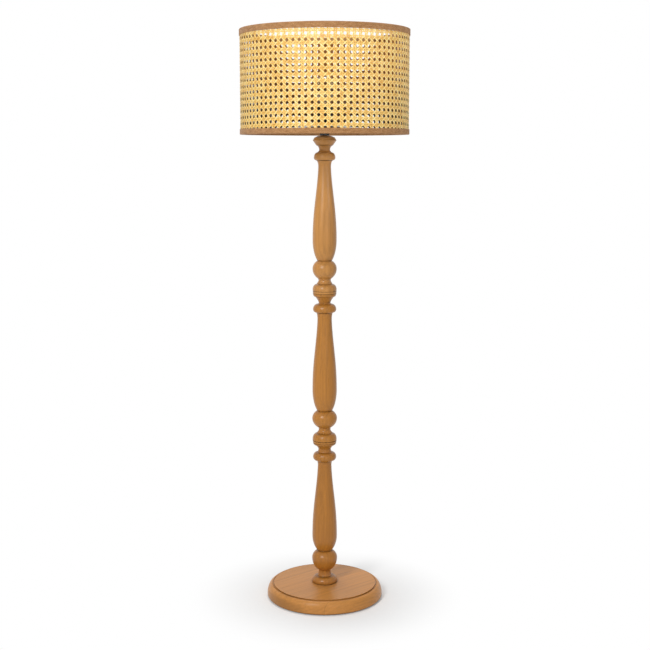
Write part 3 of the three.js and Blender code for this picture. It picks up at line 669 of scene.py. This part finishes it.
COLUMN_SIDES = 128
COLUMN_SOFTNESS = 1.4
COATING = 0.5
STEP, EASE = 1.1, 0.9
GROOVE, GROOVE_HEIGHT = 1.4, 1.6
LINE_ABOVE, LINE_HALF = 6.5, 0.8
FINE_LINE, DEEP_LINE = 1.1, 2.4
CORD_BORE = 6
INSERT_BORE = 7.3
INSERT_SEAT = 14.3
TENON_RADIUS, TENON_LENGTH = 14, 6
CUP_RADIUS, CUP_EDGE = 31.5, 25.1
CUP_FLARE_MORE = 1.2

# The sizes of each length's mouldings, in the order from its foot to its top
FOOT = dict(
    radius=34.9, rim=1.8, cove=15.7, collar=20, neck=16.3, neck_height=14.5, flare=24,
    flare_height=7.3,
)
LOWER = dict(
    ball=34.7, ball_low=30, ball_high=21.4, joint=20.8, swell=34, swell_height=41.4,
    waist=18.5, taper=201.9, cove=13.9, fillet=21.5, ring=31.7, ring_low=10.5, ring_high=13.2,
    shoulder=19.5, neck=16.7, neck_height=8.4, cup_flare=10.7, cup_height=6.5,
)
MIDDLE = dict(
    bead=32.9, bead_low=10.4, bead_high=16.8, collar=21, foot_neck=15.9, foot_neck_height=7.8,
    flare=16.1, flare_height=6.4, ball=33.8, ball_low=26.7, ball_high=20.6, joint=20.9,
    swell=33.1, swell_height=57.7, waist=19.2, taper=195.9, cove=19.2, fillet=22.5, ring=31.3,
    ring_low=8.2, ring_high=14.6, shoulder=20, neck=15.5, neck_height=3, cup_flare=16,
    cup_height=9.1,
)
UPPER = dict(
    bead=32.2, bead_low=11.1, bead_high=14.7, collar=21, foot_neck=16.1, foot_neck_height=9,
    flare=18.3, flare_height=4.9, ball=32.5, ball_low=26.6, ball_high=21.4, joint=20.1,
    swell=32.2, swell_height=55.3, waist=16.6, taper=197.1, cove=16.2, fillet=22, ring=28.5,
    ring_low=7.4, ring_high=13.2, shoulder=19.5, neck=14.2, neck_height=6.4,
)
HEAD = dict(
    collar=22.8, cove=12.5, rim=30.8, cone_low=11.2, edge=31.7, edge_height=0.6, bevel=27.3,
    bevel_height=7, top=15.8, cone_high=5.2,
)


def baluster(profile, t):
    """A ball, a long baluster, a ring and the neck above it."""
    return (
        profile.swell(t["ball"], t["ball_low"])
        .close(t["joint"], t["ball_high"])
        .line(t["joint"] - GROOVE, GROOVE_HEIGHT / 2)
        .line(t["joint"], GROOVE_HEIGHT / 2)
        .swell(t["swell"], t["swell_height"])
        .taper(t["waist"], t["taper"])
        .upright(t["fillet"], t["cove"])
        .crease(t["fillet"])
        .line(t["fillet"] + STEP, 0)
        .level(t["ring"], t["ring_low"])
        .upright(t["shoulder"], t["ring_high"])
        .line(t["shoulder"] - STEP, EASE)
        .into_neck(t["neck"], t["neck_height"] - EASE)
    )


def bead_foot(t, z):
    """The bead that a length starts with, and the neck above it."""
    return (
        Profile(CUP_RADIUS, z)
        .swell(t["bead"], t["bead_low"])
        .upright(t["collar"] + STEP, t["bead_high"] - EASE)
        .line(t["collar"], EASE)
        .crease(t["collar"])
        .into_neck(t["foot_neck"], t["foot_neck_height"])
        .out_of_neck(t["flare"], t["flare_height"])
    )


def cup(profile, t):
    """The cup that ends a length, under the next one's bead."""
    profile.out_of_neck(CUP_EDGE, t["cup_flare"] + CUP_FLARE_MORE)
    return profile.level(CUP_RADIUS, t["cup_height"])


def lined(outline, middle, depth):
    """The outline with a turned line cut into it round a height."""
    lower = [point for point in outline if point[1] < middle - LINE_HALF]
    upper = [point for point in outline if point[1] > middle + LINE_HALF]
    rim, slot = lower[-1][0], lower[-1][0] - depth
    cut = [(rim, middle - LINE_HALF), (slot, middle - LINE_HALF / 2)]
    cut += [(slot, middle + LINE_HALF / 2), (upper[0][0], middle + LINE_HALF)]
    return lower + cut + upper


def column_piece(name, node, profile, material, tenon=False, line=0.0):
    """A length of the column, with its bores and either a tenon or a line in its bead."""
    foot, top = profile.points[0][1], profile.end[1]
    outline = [(radius + COATING, z) for radius, z in softened(profile.points, COLUMN_SOFTNESS)]
    if line:
        outline = lined(outline, foot + LINE_ABOVE, line)
    if tenon:
        outline = [(TENON_RADIUS, foot - TENON_LENGTH), (TENON_RADIUS, foot)] + outline
        foot -= TENON_LENGTH
    outline += [
        (INSERT_BORE, top),
        (INSERT_BORE, top - INSERT_SEAT),
        (CORD_BORE, top - INSERT_SEAT),
        (CORD_BORE, foot + INSERT_SEAT),
        (INSERT_BORE, foot + INSERT_SEAT),
        (INSERT_BORE, foot),
    ]
    piece(name, lathe(outline, COLUMN_SIDES), material, "stand", node)


lower_profile = (
    Profile(FOOT["radius"], BASE_TOP + GAP)
    .line(FOOT["radius"], FOOT["rim"])
    .upright(FOOT["collar"] + STEP, FOOT["cove"])
    .crease(FOOT["collar"])
    .level(FOOT["neck"], FOOT["neck_height"])
    .upright(FOOT["flare"], FOOT["flare_height"])
)
cup(baluster(lower_profile, LOWER), LOWER)
column_piece("lower_turning", "lower_column", lower_profile, lower_wood, tenon=True)

middle_profile = cup(baluster(bead_foot(MIDDLE, lower_profile.end[1] + GAP), MIDDLE), MIDDLE)
column_piece("middle_turning", "middle_column", middle_profile, middle_wood, line=DEEP_LINE)

upper_profile = (
    baluster(bead_foot(UPPER, middle_profile.end[1] + GAP), UPPER)
    .upright(HEAD["collar"], HEAD["cove"])
    .crease(HEAD["collar"])
    .line(HEAD["rim"], HEAD["cone_low"])
    .line(HEAD["edge"], HEAD["edge_height"])
    .line(HEAD["rim"], HEAD["edge_height"])
    .line(HEAD["bevel"], HEAD["bevel_height"])
    .line(HEAD["top"], HEAD["cone_high"])
)
column_piece("upper_turning", "upper_column", upper_profile, upper_wood, line=FINE_LINE)


# Lamp holder

ROD_HOLE = 5.3
COLLAR_RADIUS, COLLAR_HEIGHT, COLLAR_CHAMFER = 13.2, 7.8, 0.8
HOLDER_RADIUS, HOLDER_BORE, HOLDER_HEIGHT = 20.4, 18.2, 59
FLANGE_RADIUS, FLANGE_HEIGHT = 24.5, 2.5
DOME_FOOT, DOME_BORE, DOME_FLOOR, DOME_RISE, DOME_SIDE = 12.4, 10.2, 2.4, 8.6, 2.6
RING_THREAD_START, RING_THREAD_STEP, RING_THREAD_POINTS, RING_THREAD_DEPTH = 4, 1.4, 21, 0.5
HOLDER_CHAMFER, HOLDER_SOFTNESS = 1, 0.4
CORE_BORE, CORE_RADIUS, CORE_HEIGHT = 4, 17.9, 26
SHELL_OUTER, SHELL_INNER, SHELL_HEIGHT = 14.15, 13.65, 24
ROLLED_THREAD = (0.25, 3.63)


def fitting(name, node, outline, material, body, slot, reach=0.5, **details):
    """A turned fitting. Its outline's heights are counted from the node's lowest point."""
    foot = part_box(node)[0].z / MM
    rounded = softened(outline, reach) if reach else outline
    shape = lathe(rounded, FITTING_SIDES, (0, 0, foot), **details)
    piece(name, shape, material, body, node)


def wavy(radius, low, high, step=0.3):
    """A straight side with enough points for a rolled thread."""
    return [(radius, z) for z in np.linspace(low, high, max(2, round((high - low) / step)))]


collar = [
    (ROD_HOLE, 0),
    (COLLAR_RADIUS - COLLAR_CHAMFER, 0),
    (COLLAR_RADIUS, COLLAR_CHAMFER),
    (COLLAR_RADIUS, COLLAR_HEIGHT - COLLAR_CHAMFER),
    (COLLAR_RADIUS - COLLAR_CHAMFER, COLLAR_HEIGHT),
    (ROD_HOLE, COLLAR_HEIGHT),
]
fitting("top_collar", "collar", collar, black, "stand", "black_plastic")

cap_outside = (
    Profile(DOME_FOOT, 0)
    .line(DOME_FOOT, DOME_FLOOR)
    .level(HOLDER_RADIUS, DOME_RISE)
    .line(HOLDER_RADIUS, DOME_SIDE)
)
cap_inside = (
    Profile(ROD_HOLE, DOME_FLOOR)
    .line(DOME_BORE, 0)
    .level(HOLDER_BORE, DOME_RISE)
    .line(HOLDER_BORE, DOME_SIDE)
)
dome = cap_outside.points + cap_inside.points[::-1] + [(ROD_HOLE, 0)]
fitting("holder_dome", "holder_cap", dome, black, "stand", "black_plastic")

holder_thread = [
    (HOLDER_RADIUS - RING_THREAD_DEPTH * (i % 2), RING_THREAD_START + RING_THREAD_STEP * i)
    for i in range(RING_THREAD_POINTS)
]
holder_outline = [
    (HOLDER_BORE, 0),
    (FLANGE_RADIUS, 0),
    (FLANGE_RADIUS, FLANGE_HEIGHT),
    (HOLDER_RADIUS, FLANGE_HEIGHT),
    *holder_thread,
    (HOLDER_RADIUS, HOLDER_HEIGHT - HOLDER_CHAMFER),
    (HOLDER_RADIUS - HOLDER_CHAMFER, HOLDER_HEIGHT),
    (HOLDER_BORE, HOLDER_HEIGHT),
]
fitting(
    "holder_shell",
    "holder_body",
    holder_outline,
    black,
    "stand",
    "black_plastic",
    reach=HOLDER_SOFTNESS,
)
core = ring(CORE_BORE, CORE_RADIUS, 0, CORE_HEIGHT)
fitting("holder_core", "contact_block", core, ceramic, "stand", "ceramic")
fitting(
    "screw_shell",
    "threaded_shell",
    wavy(SHELL_OUTER, 0, SHELL_HEIGHT) + wavy(SHELL_INNER, SHELL_HEIGHT, 0),
    brass,
    "stand",
    "brass",
    reach=0,
    wave=ROLLED_THREAD,
)


# Cane shade

SHADE_FOOT, SHADE_HEIGHT = 1289, 274
SHADE_TOP = SHADE_FOOT + SHADE_HEIGHT
SHADE_RADIUS = 227
WEB_RADIUS = 224.6
WEB_INSET = 1.6
WEB_LOW, WEB_HIGH = SHADE_FOOT + WEB_INSET, SHADE_TOP - WEB_INSET

# The weave: its cells, its strands, and how it is stretched round the drum
COLUMNS = 85
COLUMN_TURN = TURN / COLUMNS
ROW_PITCH = 15.32
FIRST_HOLE = 1319.8
ROW_BASE = FIRST_HOLE - ROW_PITCH / 2
FIRST_ROW, LAST_ROW = -3, 19
UPRIGHT_HALF, UPRIGHT_WIDTH = 2.4, 3.4
ROUND_HALF, ROUND_WIDTH = 2.1, 3.0
DIAGONAL_WIDTH = 3.0
STRAND_THICK = 0.5
PAIR_LIFT = 0.38
DIAGONAL_LIFT = 0.75
WEB_TURNED, FRONT_TURNED, BACK_LOOSER, SIDES_LOOSER = 0.0016, 0.0099, 0.02, 0.004
BACK_WIDER = 0.32
BACK_RISE = 5.0
BACK_TALLER, TALLER_FROM = 0.08, 1526
STRAND_SECTION = np.array(
    [(-0.5, -0.5), (0.5, -0.5), (0.5, 0.1), (0.28, 0.5), (-0.28, 0.5), (-0.5, 0.1)]
)
INWARD_SIDES = (0, 1, 5)
STEPS_UP = 110
STEPS_PER_COLUMN = 6
DIAGONAL_ROUNDS = 4
STRAND_SHARP = 50


def web_angle(turn):
    """Where a column of the weave stands. The cane is stretched a little wider at the back."""
    shift = FRONT_TURNED * np.cos(turn) - BACK_LOOSER * np.sin(turn)
    return FRONT - WEB_TURNED + turn + shift + SIDES_LOOSER * np.sin(2 * turn)


def web_rise(turn, z):
    """How far the rows stand off their level there. The ends meet a third of a row apart, and the
    cane is stretched a little taller at the back."""
    return (BACK_RISE + BACK_TALLER * (z - TALLER_FROM)) * (1 - np.cos(turn)) / 2


def strand_width(width, angle):
    """A little wider at the back, where hardly any light shows through."""
    return width * (1 + BACK_WIDER * ((1 + np.sin(angle)) / 2) ** 2)


def strands(paths, width, closed):
    """Flat strands with a rounded face, each along a path of (angle, height, lift) over the drum.
    Returns the mesh, and for each face whether it looks into the drum."""
    verts, faces, inward = [], [], []
    sides = len(STRAND_SECTION)
    for path in paths:
        angle, height, lift = np.asarray(path, float)
        out = np.stack([np.cos(angle), np.sin(angle), np.zeros(len(angle))], 1)
        centre = out * (WEB_RADIUS + lift)[:, None]
        centre[:, 2] = height
        if closed:
            along = np.roll(centre, -1, 0) - np.roll(centre, 1, 0)
        else:
            along = np.gradient(centre, axis=0)
        across = np.cross(along, out)
        across /= np.linalg.norm(across, axis=1)[:, None]
        face_out = np.cross(across, along)
        face_out /= np.linalg.norm(face_out, axis=1)[:, None]
        across *= strand_width(width, angle)[:, None]
        face_out *= STRAND_THICK
        corners = centre[:, None] + across[:, None] * STRAND_SECTION[:, :1]
        corners = corners + face_out[:, None] * STRAND_SECTION[:, 1:]
        start, count = len(verts), len(centre)
        verts.extend(corners.reshape(-1, 3))
        for i in range(count if closed else count - 1):
            a, b = start + i * sides, start + ((i + 1) % count) * sides
            for m in range(sides):
                n = (m + 1) % sides
                faces.append((a + m, a + n, b + n, b + m))
                inward.append(int(m in INWARD_SIDES))
        if not closed:
            faces.append(tuple(start + m for m in reversed(range(sides))))
            faces.append(tuple(start + (count - 1) * sides + m for m in range(sides)))
            inward.extend((0, 0))
    return (verts, faces), inward


heights = np.linspace(WEB_LOW, WEB_HIGH, STEPS_UP)


def upright_paths():
    """Pairs of uprights. One of a pair stands out where the other lies low."""
    paths = []
    for i in range(COLUMNS):
        turn = (i + 0.5) * COLUMN_TURN
        rows = (heights - web_rise(turn, heights) - ROW_BASE) / ROW_PITCH
        for side in (-1, 1):
            angle = web_angle(turn) + side * UPRIGHT_HALF / WEB_RADIUS
            lift = -PAIR_LIFT * side * np.sin(TURN * rows)
            paths.append((np.full(len(heights), angle), heights, lift))
    return paths


def round_paths():
    """Pairs of rounds. One that the stretch takes past the web's edge runs on under the tape."""
    turns = np.linspace(0, TURN, COLUMNS * STEPS_PER_COLUMN, endpoint=False)
    low, high = WEB_LOW + ROUND_WIDTH / 2, WEB_HIGH - ROUND_WIDTH / 2
    paths = []
    for row in range(FIRST_ROW, LAST_ROW + 1):
        for side in (-1, 1):
            height = ROW_BASE + row * ROW_PITCH + side * ROUND_HALF
            lift = PAIR_LIFT * side * np.sin(TURN * (turns / COLUMN_TURN - 0.5))
            if low < height < high:
                risen = np.clip(height + web_rise(turns, height), low, high)
                paths.append((web_angle(turns), risen, lift))
    return paths


def diagonal_paths(slant):
    """Diagonals that climb a row for each column. Their rows are found in a few rounds, because the
    rise of a row depends on the place where the diagonal meets it."""
    paths = []
    for i in range(COLUMNS):
        rows = (heights - ROW_BASE) / ROW_PITCH
        for _ in range(DIAGONAL_ROUNDS):
            rise = web_rise((i + slant * rows) * COLUMN_TURN, heights)
            rows = (heights - rise - ROW_BASE) / ROW_PITCH
        lift = DIAGONAL_LIFT * slant * np.cos(TURN * rows)
        paths.append((web_angle((i + slant * rows) * COLUMN_TURN), heights, lift))
    return paths


for name, paths, width, closed, material in (
    ("cane_uprights", upright_paths(), UPRIGHT_WIDTH, False, cane_up),
    ("cane_rounds", round_paths(), ROUND_WIDTH, True, cane_round),
    ("cane_rising", diagonal_paths(1), DIAGONAL_WIDTH, False, cane_slant),
    ("cane_falling", diagonal_paths(-1), DIAGONAL_WIDTH, False, cane_slant),
):
    shape, inward = strands(paths, width, closed)
    # Faces that look into the drum take the cane's painted inside shade
    both = material, cane_inside_shaded
    piece(name, shape, both, "shade", "cane_webbing", sharp=STRAND_SHARP, choice=inward)


# Wires in both rims and the fitter

WIRE_RADIUS = 2
WIRE_SIDES, ARM_SIDES = 12, 16
HOOP_RADIUS = 221.3
HOOP_INSET = 3.4
HOOP_STEPS, ARM_STEPS = 180, 24
PLATE_RADIUS, PLATE_BORE, PLATE_THICKNESS = 31, 21.4, 2.5
PLATE_MIDDLE = 23.65
ARM_START, ARM_END = 31.3, 219


def around(radius, z):
    angles = TURN * np.arange(HOOP_STEPS) / HOOP_STEPS
    return np.stack([radius * np.cos(angles), radius * np.sin(angles), np.full(HOOP_STEPS, z)], 1)


for name, z in (("bottom", SHADE_FOOT + HOOP_INSET), ("top", SHADE_TOP - HOOP_INSET)):
    wire = sweep(around(HOOP_RADIUS, z), WIRE_RADIUS, WIRE_SIDES, closed=True)
    piece(f"{name}_wire", wire, coated, "shade", f"{name}_hoop")


def arm_points(angle, start, end):
    """Along the straight line from the plate's edge down to the lower hoop."""
    radius = np.linspace(start, end, ARM_STEPS)
    inner = PLATE_RADIUS - WIRE_RADIUS
    share = (radius - inner) / (HOOP_RADIUS - inner)
    z = SHADE_FOOT + PLATE_MIDDLE + (HOOP_INSET - PLATE_MIDDLE) * share
    return np.stack([radius * math.cos(angle), radius * math.sin(angle), z], 1)


arm_angles = [BACK + TURN * i / 3 for i in range(3)]
for i, angle in enumerate(arm_angles, 1):
    arm = sweep(arm_points(angle, ARM_START, ARM_END), WIRE_RADIUS, ARM_SIDES)
    piece(f"arm_{i}", arm, coated, "shade", f"fitter_arm_{i}")
plate = ring(PLATE_BORE, PLATE_RADIUS, 0, PLATE_THICKNESS)
fitting("carrier_plate", "fitter_plate", plate, coated, "shade", "white_wire")


# Tape over both rims and over the seam

TAPE = 1.1
BANDS = {"bottom": 14, "top": 15.8}
INNER_BAND = 12
INNER_OUTER = 219
TAPE_SIDES = 256
TAPE_SOFTNESS = 1.2
ARM_HOLE = 205, 220.5
SEAM_HALF, SEAM_EDGE = 10, 0.35
SEAM_ACROSS, SEAM_UP = 9, 60


def tape_outline(foot, direction, band):
    """The section of the tape that is folded over a rim."""
    inside = INNER_OUTER - TAPE
    points = [
        (inside, 0),
        (SHADE_RADIUS, 0),
        (SHADE_RADIUS, band),
        (SHADE_RADIUS - TAPE, band),
        (SHADE_RADIUS - TAPE, TAPE),
        (INNER_OUTER, TAPE),
        (INNER_OUTER, INNER_BAND),
        (inside, INNER_BAND),
    ]
    return softened([(r, foot + direction * z) for r, z in points], TAPE_SOFTNESS)


for name, foot, direction in (("bottom", SHADE_FOOT, 1), ("top", SHADE_TOP, -1)):
    shape = lathe(tape_outline(foot, direction, BANDS[name]), TAPE_SIDES)
    holes = []
    if direction > 0:
        for angle in arm_angles:
            holes.append(sweep(arm_points(angle, *ARM_HOLE), WIRE_RADIUS + GAP, ARM_SIDES))
    piece(f"{name}_binding", shape, linen, "shade", f"{name}_tape", cutters=holes)


def seam_strip(low, high):
    """Tape along the seam, curved as the drum is."""
    inner, outer, edge = SHADE_RADIUS - TAPE, SHADE_RADIUS, SHADE_RADIUS - SEAM_EDGE
    angles = BACK + np.linspace(-SEAM_HALF, SEAM_HALF, SEAM_ACROSS) / SHADE_RADIUS
    plan = [(inner, a) for a in angles[::-1]] + [(edge, angles[0])]
    plan += [(outer, a) for a in angles[1:-1]] + [(edge, angles[-1])]
    count = len(plan)
    verts, faces = [], []
    for step, z in enumerate(np.linspace(low, high, SEAM_UP)):
        verts += [(r * math.cos(a), r * math.sin(a), z) for r, a in plan]
        if step:
            a, b = (step - 1) * count, step * count
            pairs = [(k, (k + 1) % count) for k in range(count)]
            faces += [(a + k, a + m, b + m, b + k) for k, m in pairs]
    faces += [tuple(reversed(range(count))), tuple(b + k for k in range(count))]
    return verts, faces


seam = seam_strip(SHADE_FOOT + BANDS["bottom"] + GAP, SHADE_TOP - BANDS["top"] - GAP)
piece("seam_binding", seam, linen, "shade", "seam_tape")


# Bulb

GLASS_WALL = 1.1
NECK_RADIUS, NECK_HEIGHT = 12, 4.2
THROAT_RADIUS, THROAT_RISE = 14.2, 9
GLOBE_SWELL, GLOBE_RISE, CROWN_RISE, CROWN_SHARE = 15.8, 42, 28, 0.62
TIP_RADIUS, TIP_HEIGHT, TIP_WIDE, TIP_RISE = 4.2, 1.6, 9, 4.2
CAP_BORE, CAP_END, CAP_OUTER, CAP_INNER, CAP_HEIGHT = 9.4, 12.3, 12.85, 12.35, 22.6
CAP_THREAD_LOW, CAP_THREAD_HIGH, CAP_INNER_LOW, CAP_FLOOR = 1.2, 20, 2.4, 0.8
STEM_FOOT, STEM_RIM, STEM_RADIUS, STEM_FLARE, STEM_LENGTH = 10.6, 1.6, 3.4, 18, 16.4
STEM_SOFTNESS = 0.4


def glass_outline(inset):
    """The globe's outline, or with an inset its inner face."""
    neck, globe = NECK_RADIUS - inset, Profile.QUARTER * GLOBE_RISE
    profile = Profile(neck, 0).line(neck, NECK_HEIGHT).line(THROAT_RADIUS - inset, THROAT_RISE)
    profile.bezier(Profile.QUARTER * GLOBE_SWELL, globe, 0, globe, GLOBE_SWELL, GLOBE_RISE)
    crown, across = CROWN_RISE - inset, profile.end[0]
    profile.bezier(0, CROWN_SHARE * crown, -CROWN_SHARE * across, 0, -across, crown)
    profile.points[-1] = (0, profile.end[1])
    return profile.points


tip = [(0, 0), (TIP_RADIUS, 0), (TIP_RADIUS, TIP_HEIGHT), (TIP_WIDE, TIP_RISE), (0, TIP_RISE)]
fitting("bulb_tip", "bulb_contact", tip, black, "bulb_foot", "black_plastic")
cap_outline = [
    (CAP_BORE, 0),
    (CAP_END, 0),
    *wavy(CAP_OUTER, CAP_THREAD_LOW, CAP_THREAD_HIGH),
    (CAP_OUTER, CAP_HEIGHT),
    (CAP_END, CAP_HEIGHT),
    *wavy(CAP_INNER, CAP_THREAD_HIGH, CAP_INNER_LOW),
    (CAP_BORE, CAP_FLOOR),
]
fitting(
    "bulb_thread",
    "bulb_cap",
    cap_outline,
    brass,
    "bulb",
    "brass",
    reach=0,
    wave=ROLLED_THREAD,
)
globe = glass_outline(GLASS_WALL)[::-1] + glass_outline(0)
fitting("bulb_envelope", "bulb_glass", globe, glass, "bulb", "glass", reach=0)
stem = (
    Profile(0, 0)
    .line(STEM_FOOT, 0)
    .line(STEM_FOOT, STEM_RIM)
    .level(STEM_RADIUS, STEM_FLARE)
    .line(STEM_RADIUS, STEM_LENGTH)
    .line(0, 0)
)
fitting("bulb_pinch", "bulb_stem", stem.points, glass, "bulb", "glass", reach=STEM_SOFTNESS)

FILAMENT_HALF, FILAMENT_RISE, LEAD_HALF = 12, 8, 1.7
FILAMENT_TURNS, FILAMENT_STEPS = 7, 8
FILAMENT_RADIUS, FILAMENT_SIDES = 0.4, 8


def filament_points(foot):
    """A zigzag on two lead wires, as a smooth curve through its corners."""
    corners = [(-LEAD_HALF, foot)]
    for i in range(FILAMENT_TURNS):
        x = FILAMENT_HALF * (2 * i / (FILAMENT_TURNS - 1) - 1)
        corners.append((x, foot + FILAMENT_RISE / (2 if i % 2 else 1)))
    corners.append((LEAD_HALF, foot))
    corners = np.array([corners[0], *corners, corners[-1]])
    points = []
    for a, b, c, d in zip(corners, corners[1:], corners[2:], corners[3:]):
        for t in np.linspace(0, 1, FILAMENT_STEPS, endpoint=False):
            square, cube = 2 * a - 5 * b + 4 * c - d, 3 * b - a - 3 * c + d
            points.append((2 * b + (c - a) * t + square * t**2 + cube * t**3) / 2)
    points.append(corners[-1])
    return [(x, 0, z) for x, z in points]


filament_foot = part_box("bulb_stem")[1].z / MM + GAP
filament = sweep(filament_points(filament_foot), FILAMENT_RADIUS, FILAMENT_SIDES)
piece("filament_wire", filament, tungsten, "bulb", "bulb_filament")


# Solids that stay as they are take these finishes

for material, names in (
    (iron, ("base_weight",)),
    (steel, ("weight_screw_1", "weight_screw_2", "weight_screw_3", "base_washer", "base_nut")),
    (steel, ("base_rod", "lower_rod", "upper_rod", "holder_nipple")),
    (brass, ("lower_insert_bottom", "lower_insert_top", "middle_insert_bottom")),
    (brass, ("middle_insert_top", "upper_insert_bottom", "upper_insert_top", "centre_contact")),
    (black, ("shade_ring",)),
):
    for name in names:
        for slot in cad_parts[name].material_slots:
            slot.material = material


# Stage


def white_emission(tree, kind):
    """White light of strength 1, from a surface or from the world."""
    node = tree.nodes.new(kind)
    node.inputs["Color"].default_value = (1, 1, 1, 1)
    node.inputs["Strength"].default_value = 1.0
    return node


def seen_directly(tree):
    """1 for what the camera sees, also in a reflection or through glass."""
    path = tree.nodes.new("ShaderNodeLightPath")
    seen = path.outputs["Is Camera Ray"]
    for kind in ("Is Glossy Ray", "Is Transmission Ray"):
        either = tree.nodes.new("ShaderNodeMath")
        either.operation = "MAXIMUM"
        tree.links.new(seen, either.inputs[0])
        tree.links.new(path.outputs[kind], either.inputs[1])
        seen = either.outputs[0]
    return seen


FLOOR_TONES = (0.875, 0.875, 0.873), (0.895, 0.895, 0.893)
SHADOW_INSIDE, SHADOW_OUTSIDE, SHADOW_SHARE = 0.13, 0.4, 0.1
FLOOR_REACH = 9000
WORLD_STRENGTH = 0.36


def floor_material():
    """Pale paper that the camera sees close to white, with the lamp's soft shadow on it."""
    s = Shader("floor", Roughness=0.9, Specular_IOR_Level=0.0)
    s.colour(s.ramp(s.noise(2), (0.3, FLOOR_TONES[0]), (0.7, FLOOR_TONES[1])))
    reach = s.add("VectorMath", {"operation": "LENGTH"}, Vector=s.object_space).outputs["Value"]
    clear = s.span(reach, SHADOW_INSIDE, SHADOW_OUTSIDE, SHADOW_SHARE, 1.0, smooth=True)
    mixed = s.tree.nodes.new("ShaderNodeMixShader")
    s.feed(mixed.inputs[0], s.math("MULTIPLY", seen_directly(s.tree), clear))
    s.feed(mixed.inputs[1], s.bsdf.outputs[0])
    s.feed(mixed.inputs[2], white_emission(s.tree, "ShaderNodeEmission").outputs[0])
    s.feed(s.tree.nodes["Material Output"].inputs["Surface"], mixed.outputs[0])
    return s.material


corners = [(FLOOR_REACH * x, FLOOR_REACH * y, 0) for x, y in ((-1, -1), (1, -1), (1, 1), (-1, 1))]
floor = plain_object("floor", corners, [(0, 1, 2, 3)])
floor.data.materials.append(floor_material())
floor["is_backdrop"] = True

world = bpy.data.worlds.new("studio")
bpy.context.scene.world = world
world.use_nodes = True
tree = world.node_tree
tree.nodes.clear()
around_light = tree.nodes.new("ShaderNodeBackground")
around_light.inputs["Color"].default_value = (1, 1, 1, 1)
around_light.inputs["Strength"].default_value = WORLD_STRENGTH
both = tree.nodes.new("ShaderNodeMixShader")
out = tree.nodes.new("ShaderNodeOutputWorld")
tree.links.new(seen_directly(tree), both.inputs[0])
tree.links.new(around_light.outputs[0], both.inputs[1])
tree.links.new(white_emission(tree, "ShaderNodeBackground").outputs[0], both.inputs[2])
tree.links.new(both.outputs[0], out.inputs["Surface"])


def lamp(name, kind, place, target, energy):
    light = bpy.data.lights.new(name, kind)
    light.energy = energy
    obj = bpy.data.objects.new(name, light)
    bpy.context.scene.collection.objects.link(obj)
    obj.location = place
    obj.rotation_euler = (Vector(target) - Vector(place)).to_track_quat("-Z", "Y").to_euler()
    return light


def softbox(name, place, target, size, energy):
    light = lamp(name, "AREA", place, target, energy)
    light.shape = "RECTANGLE"
    light.size, light.size_y = size


# Place, target, size in metres and power in watts
softbox("key_light", (-1.4, -2.6, 2.4), (0, 0, 0.9), (0.5, 1.2), 57)
softbox("fill_light", (0.9, -2.4, 1.2), (0, 0, 0.5), (0.6, 0.6), 4)
softbox("top_light", (-0.2, 0.6, 3.4), (0, 0, 0), (1.2, 1.2), 40)

# A spot from the right, narrow enough to light the shade and little else
SPOT_CONE, SPOT_BLEND, SPOT_RADIUS = 17, 0.6, 0.25
shade_light = lamp("shade_light", "SPOT", (1.9, -1.5, 1.75), (0.05, 0, 1.47), 72)
shade_light.spot_size = math.radians(SPOT_CONE)
shade_light.spot_blend = SPOT_BLEND
shade_light.shadow_soft_size = SPOT_RADIUS

low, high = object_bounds()
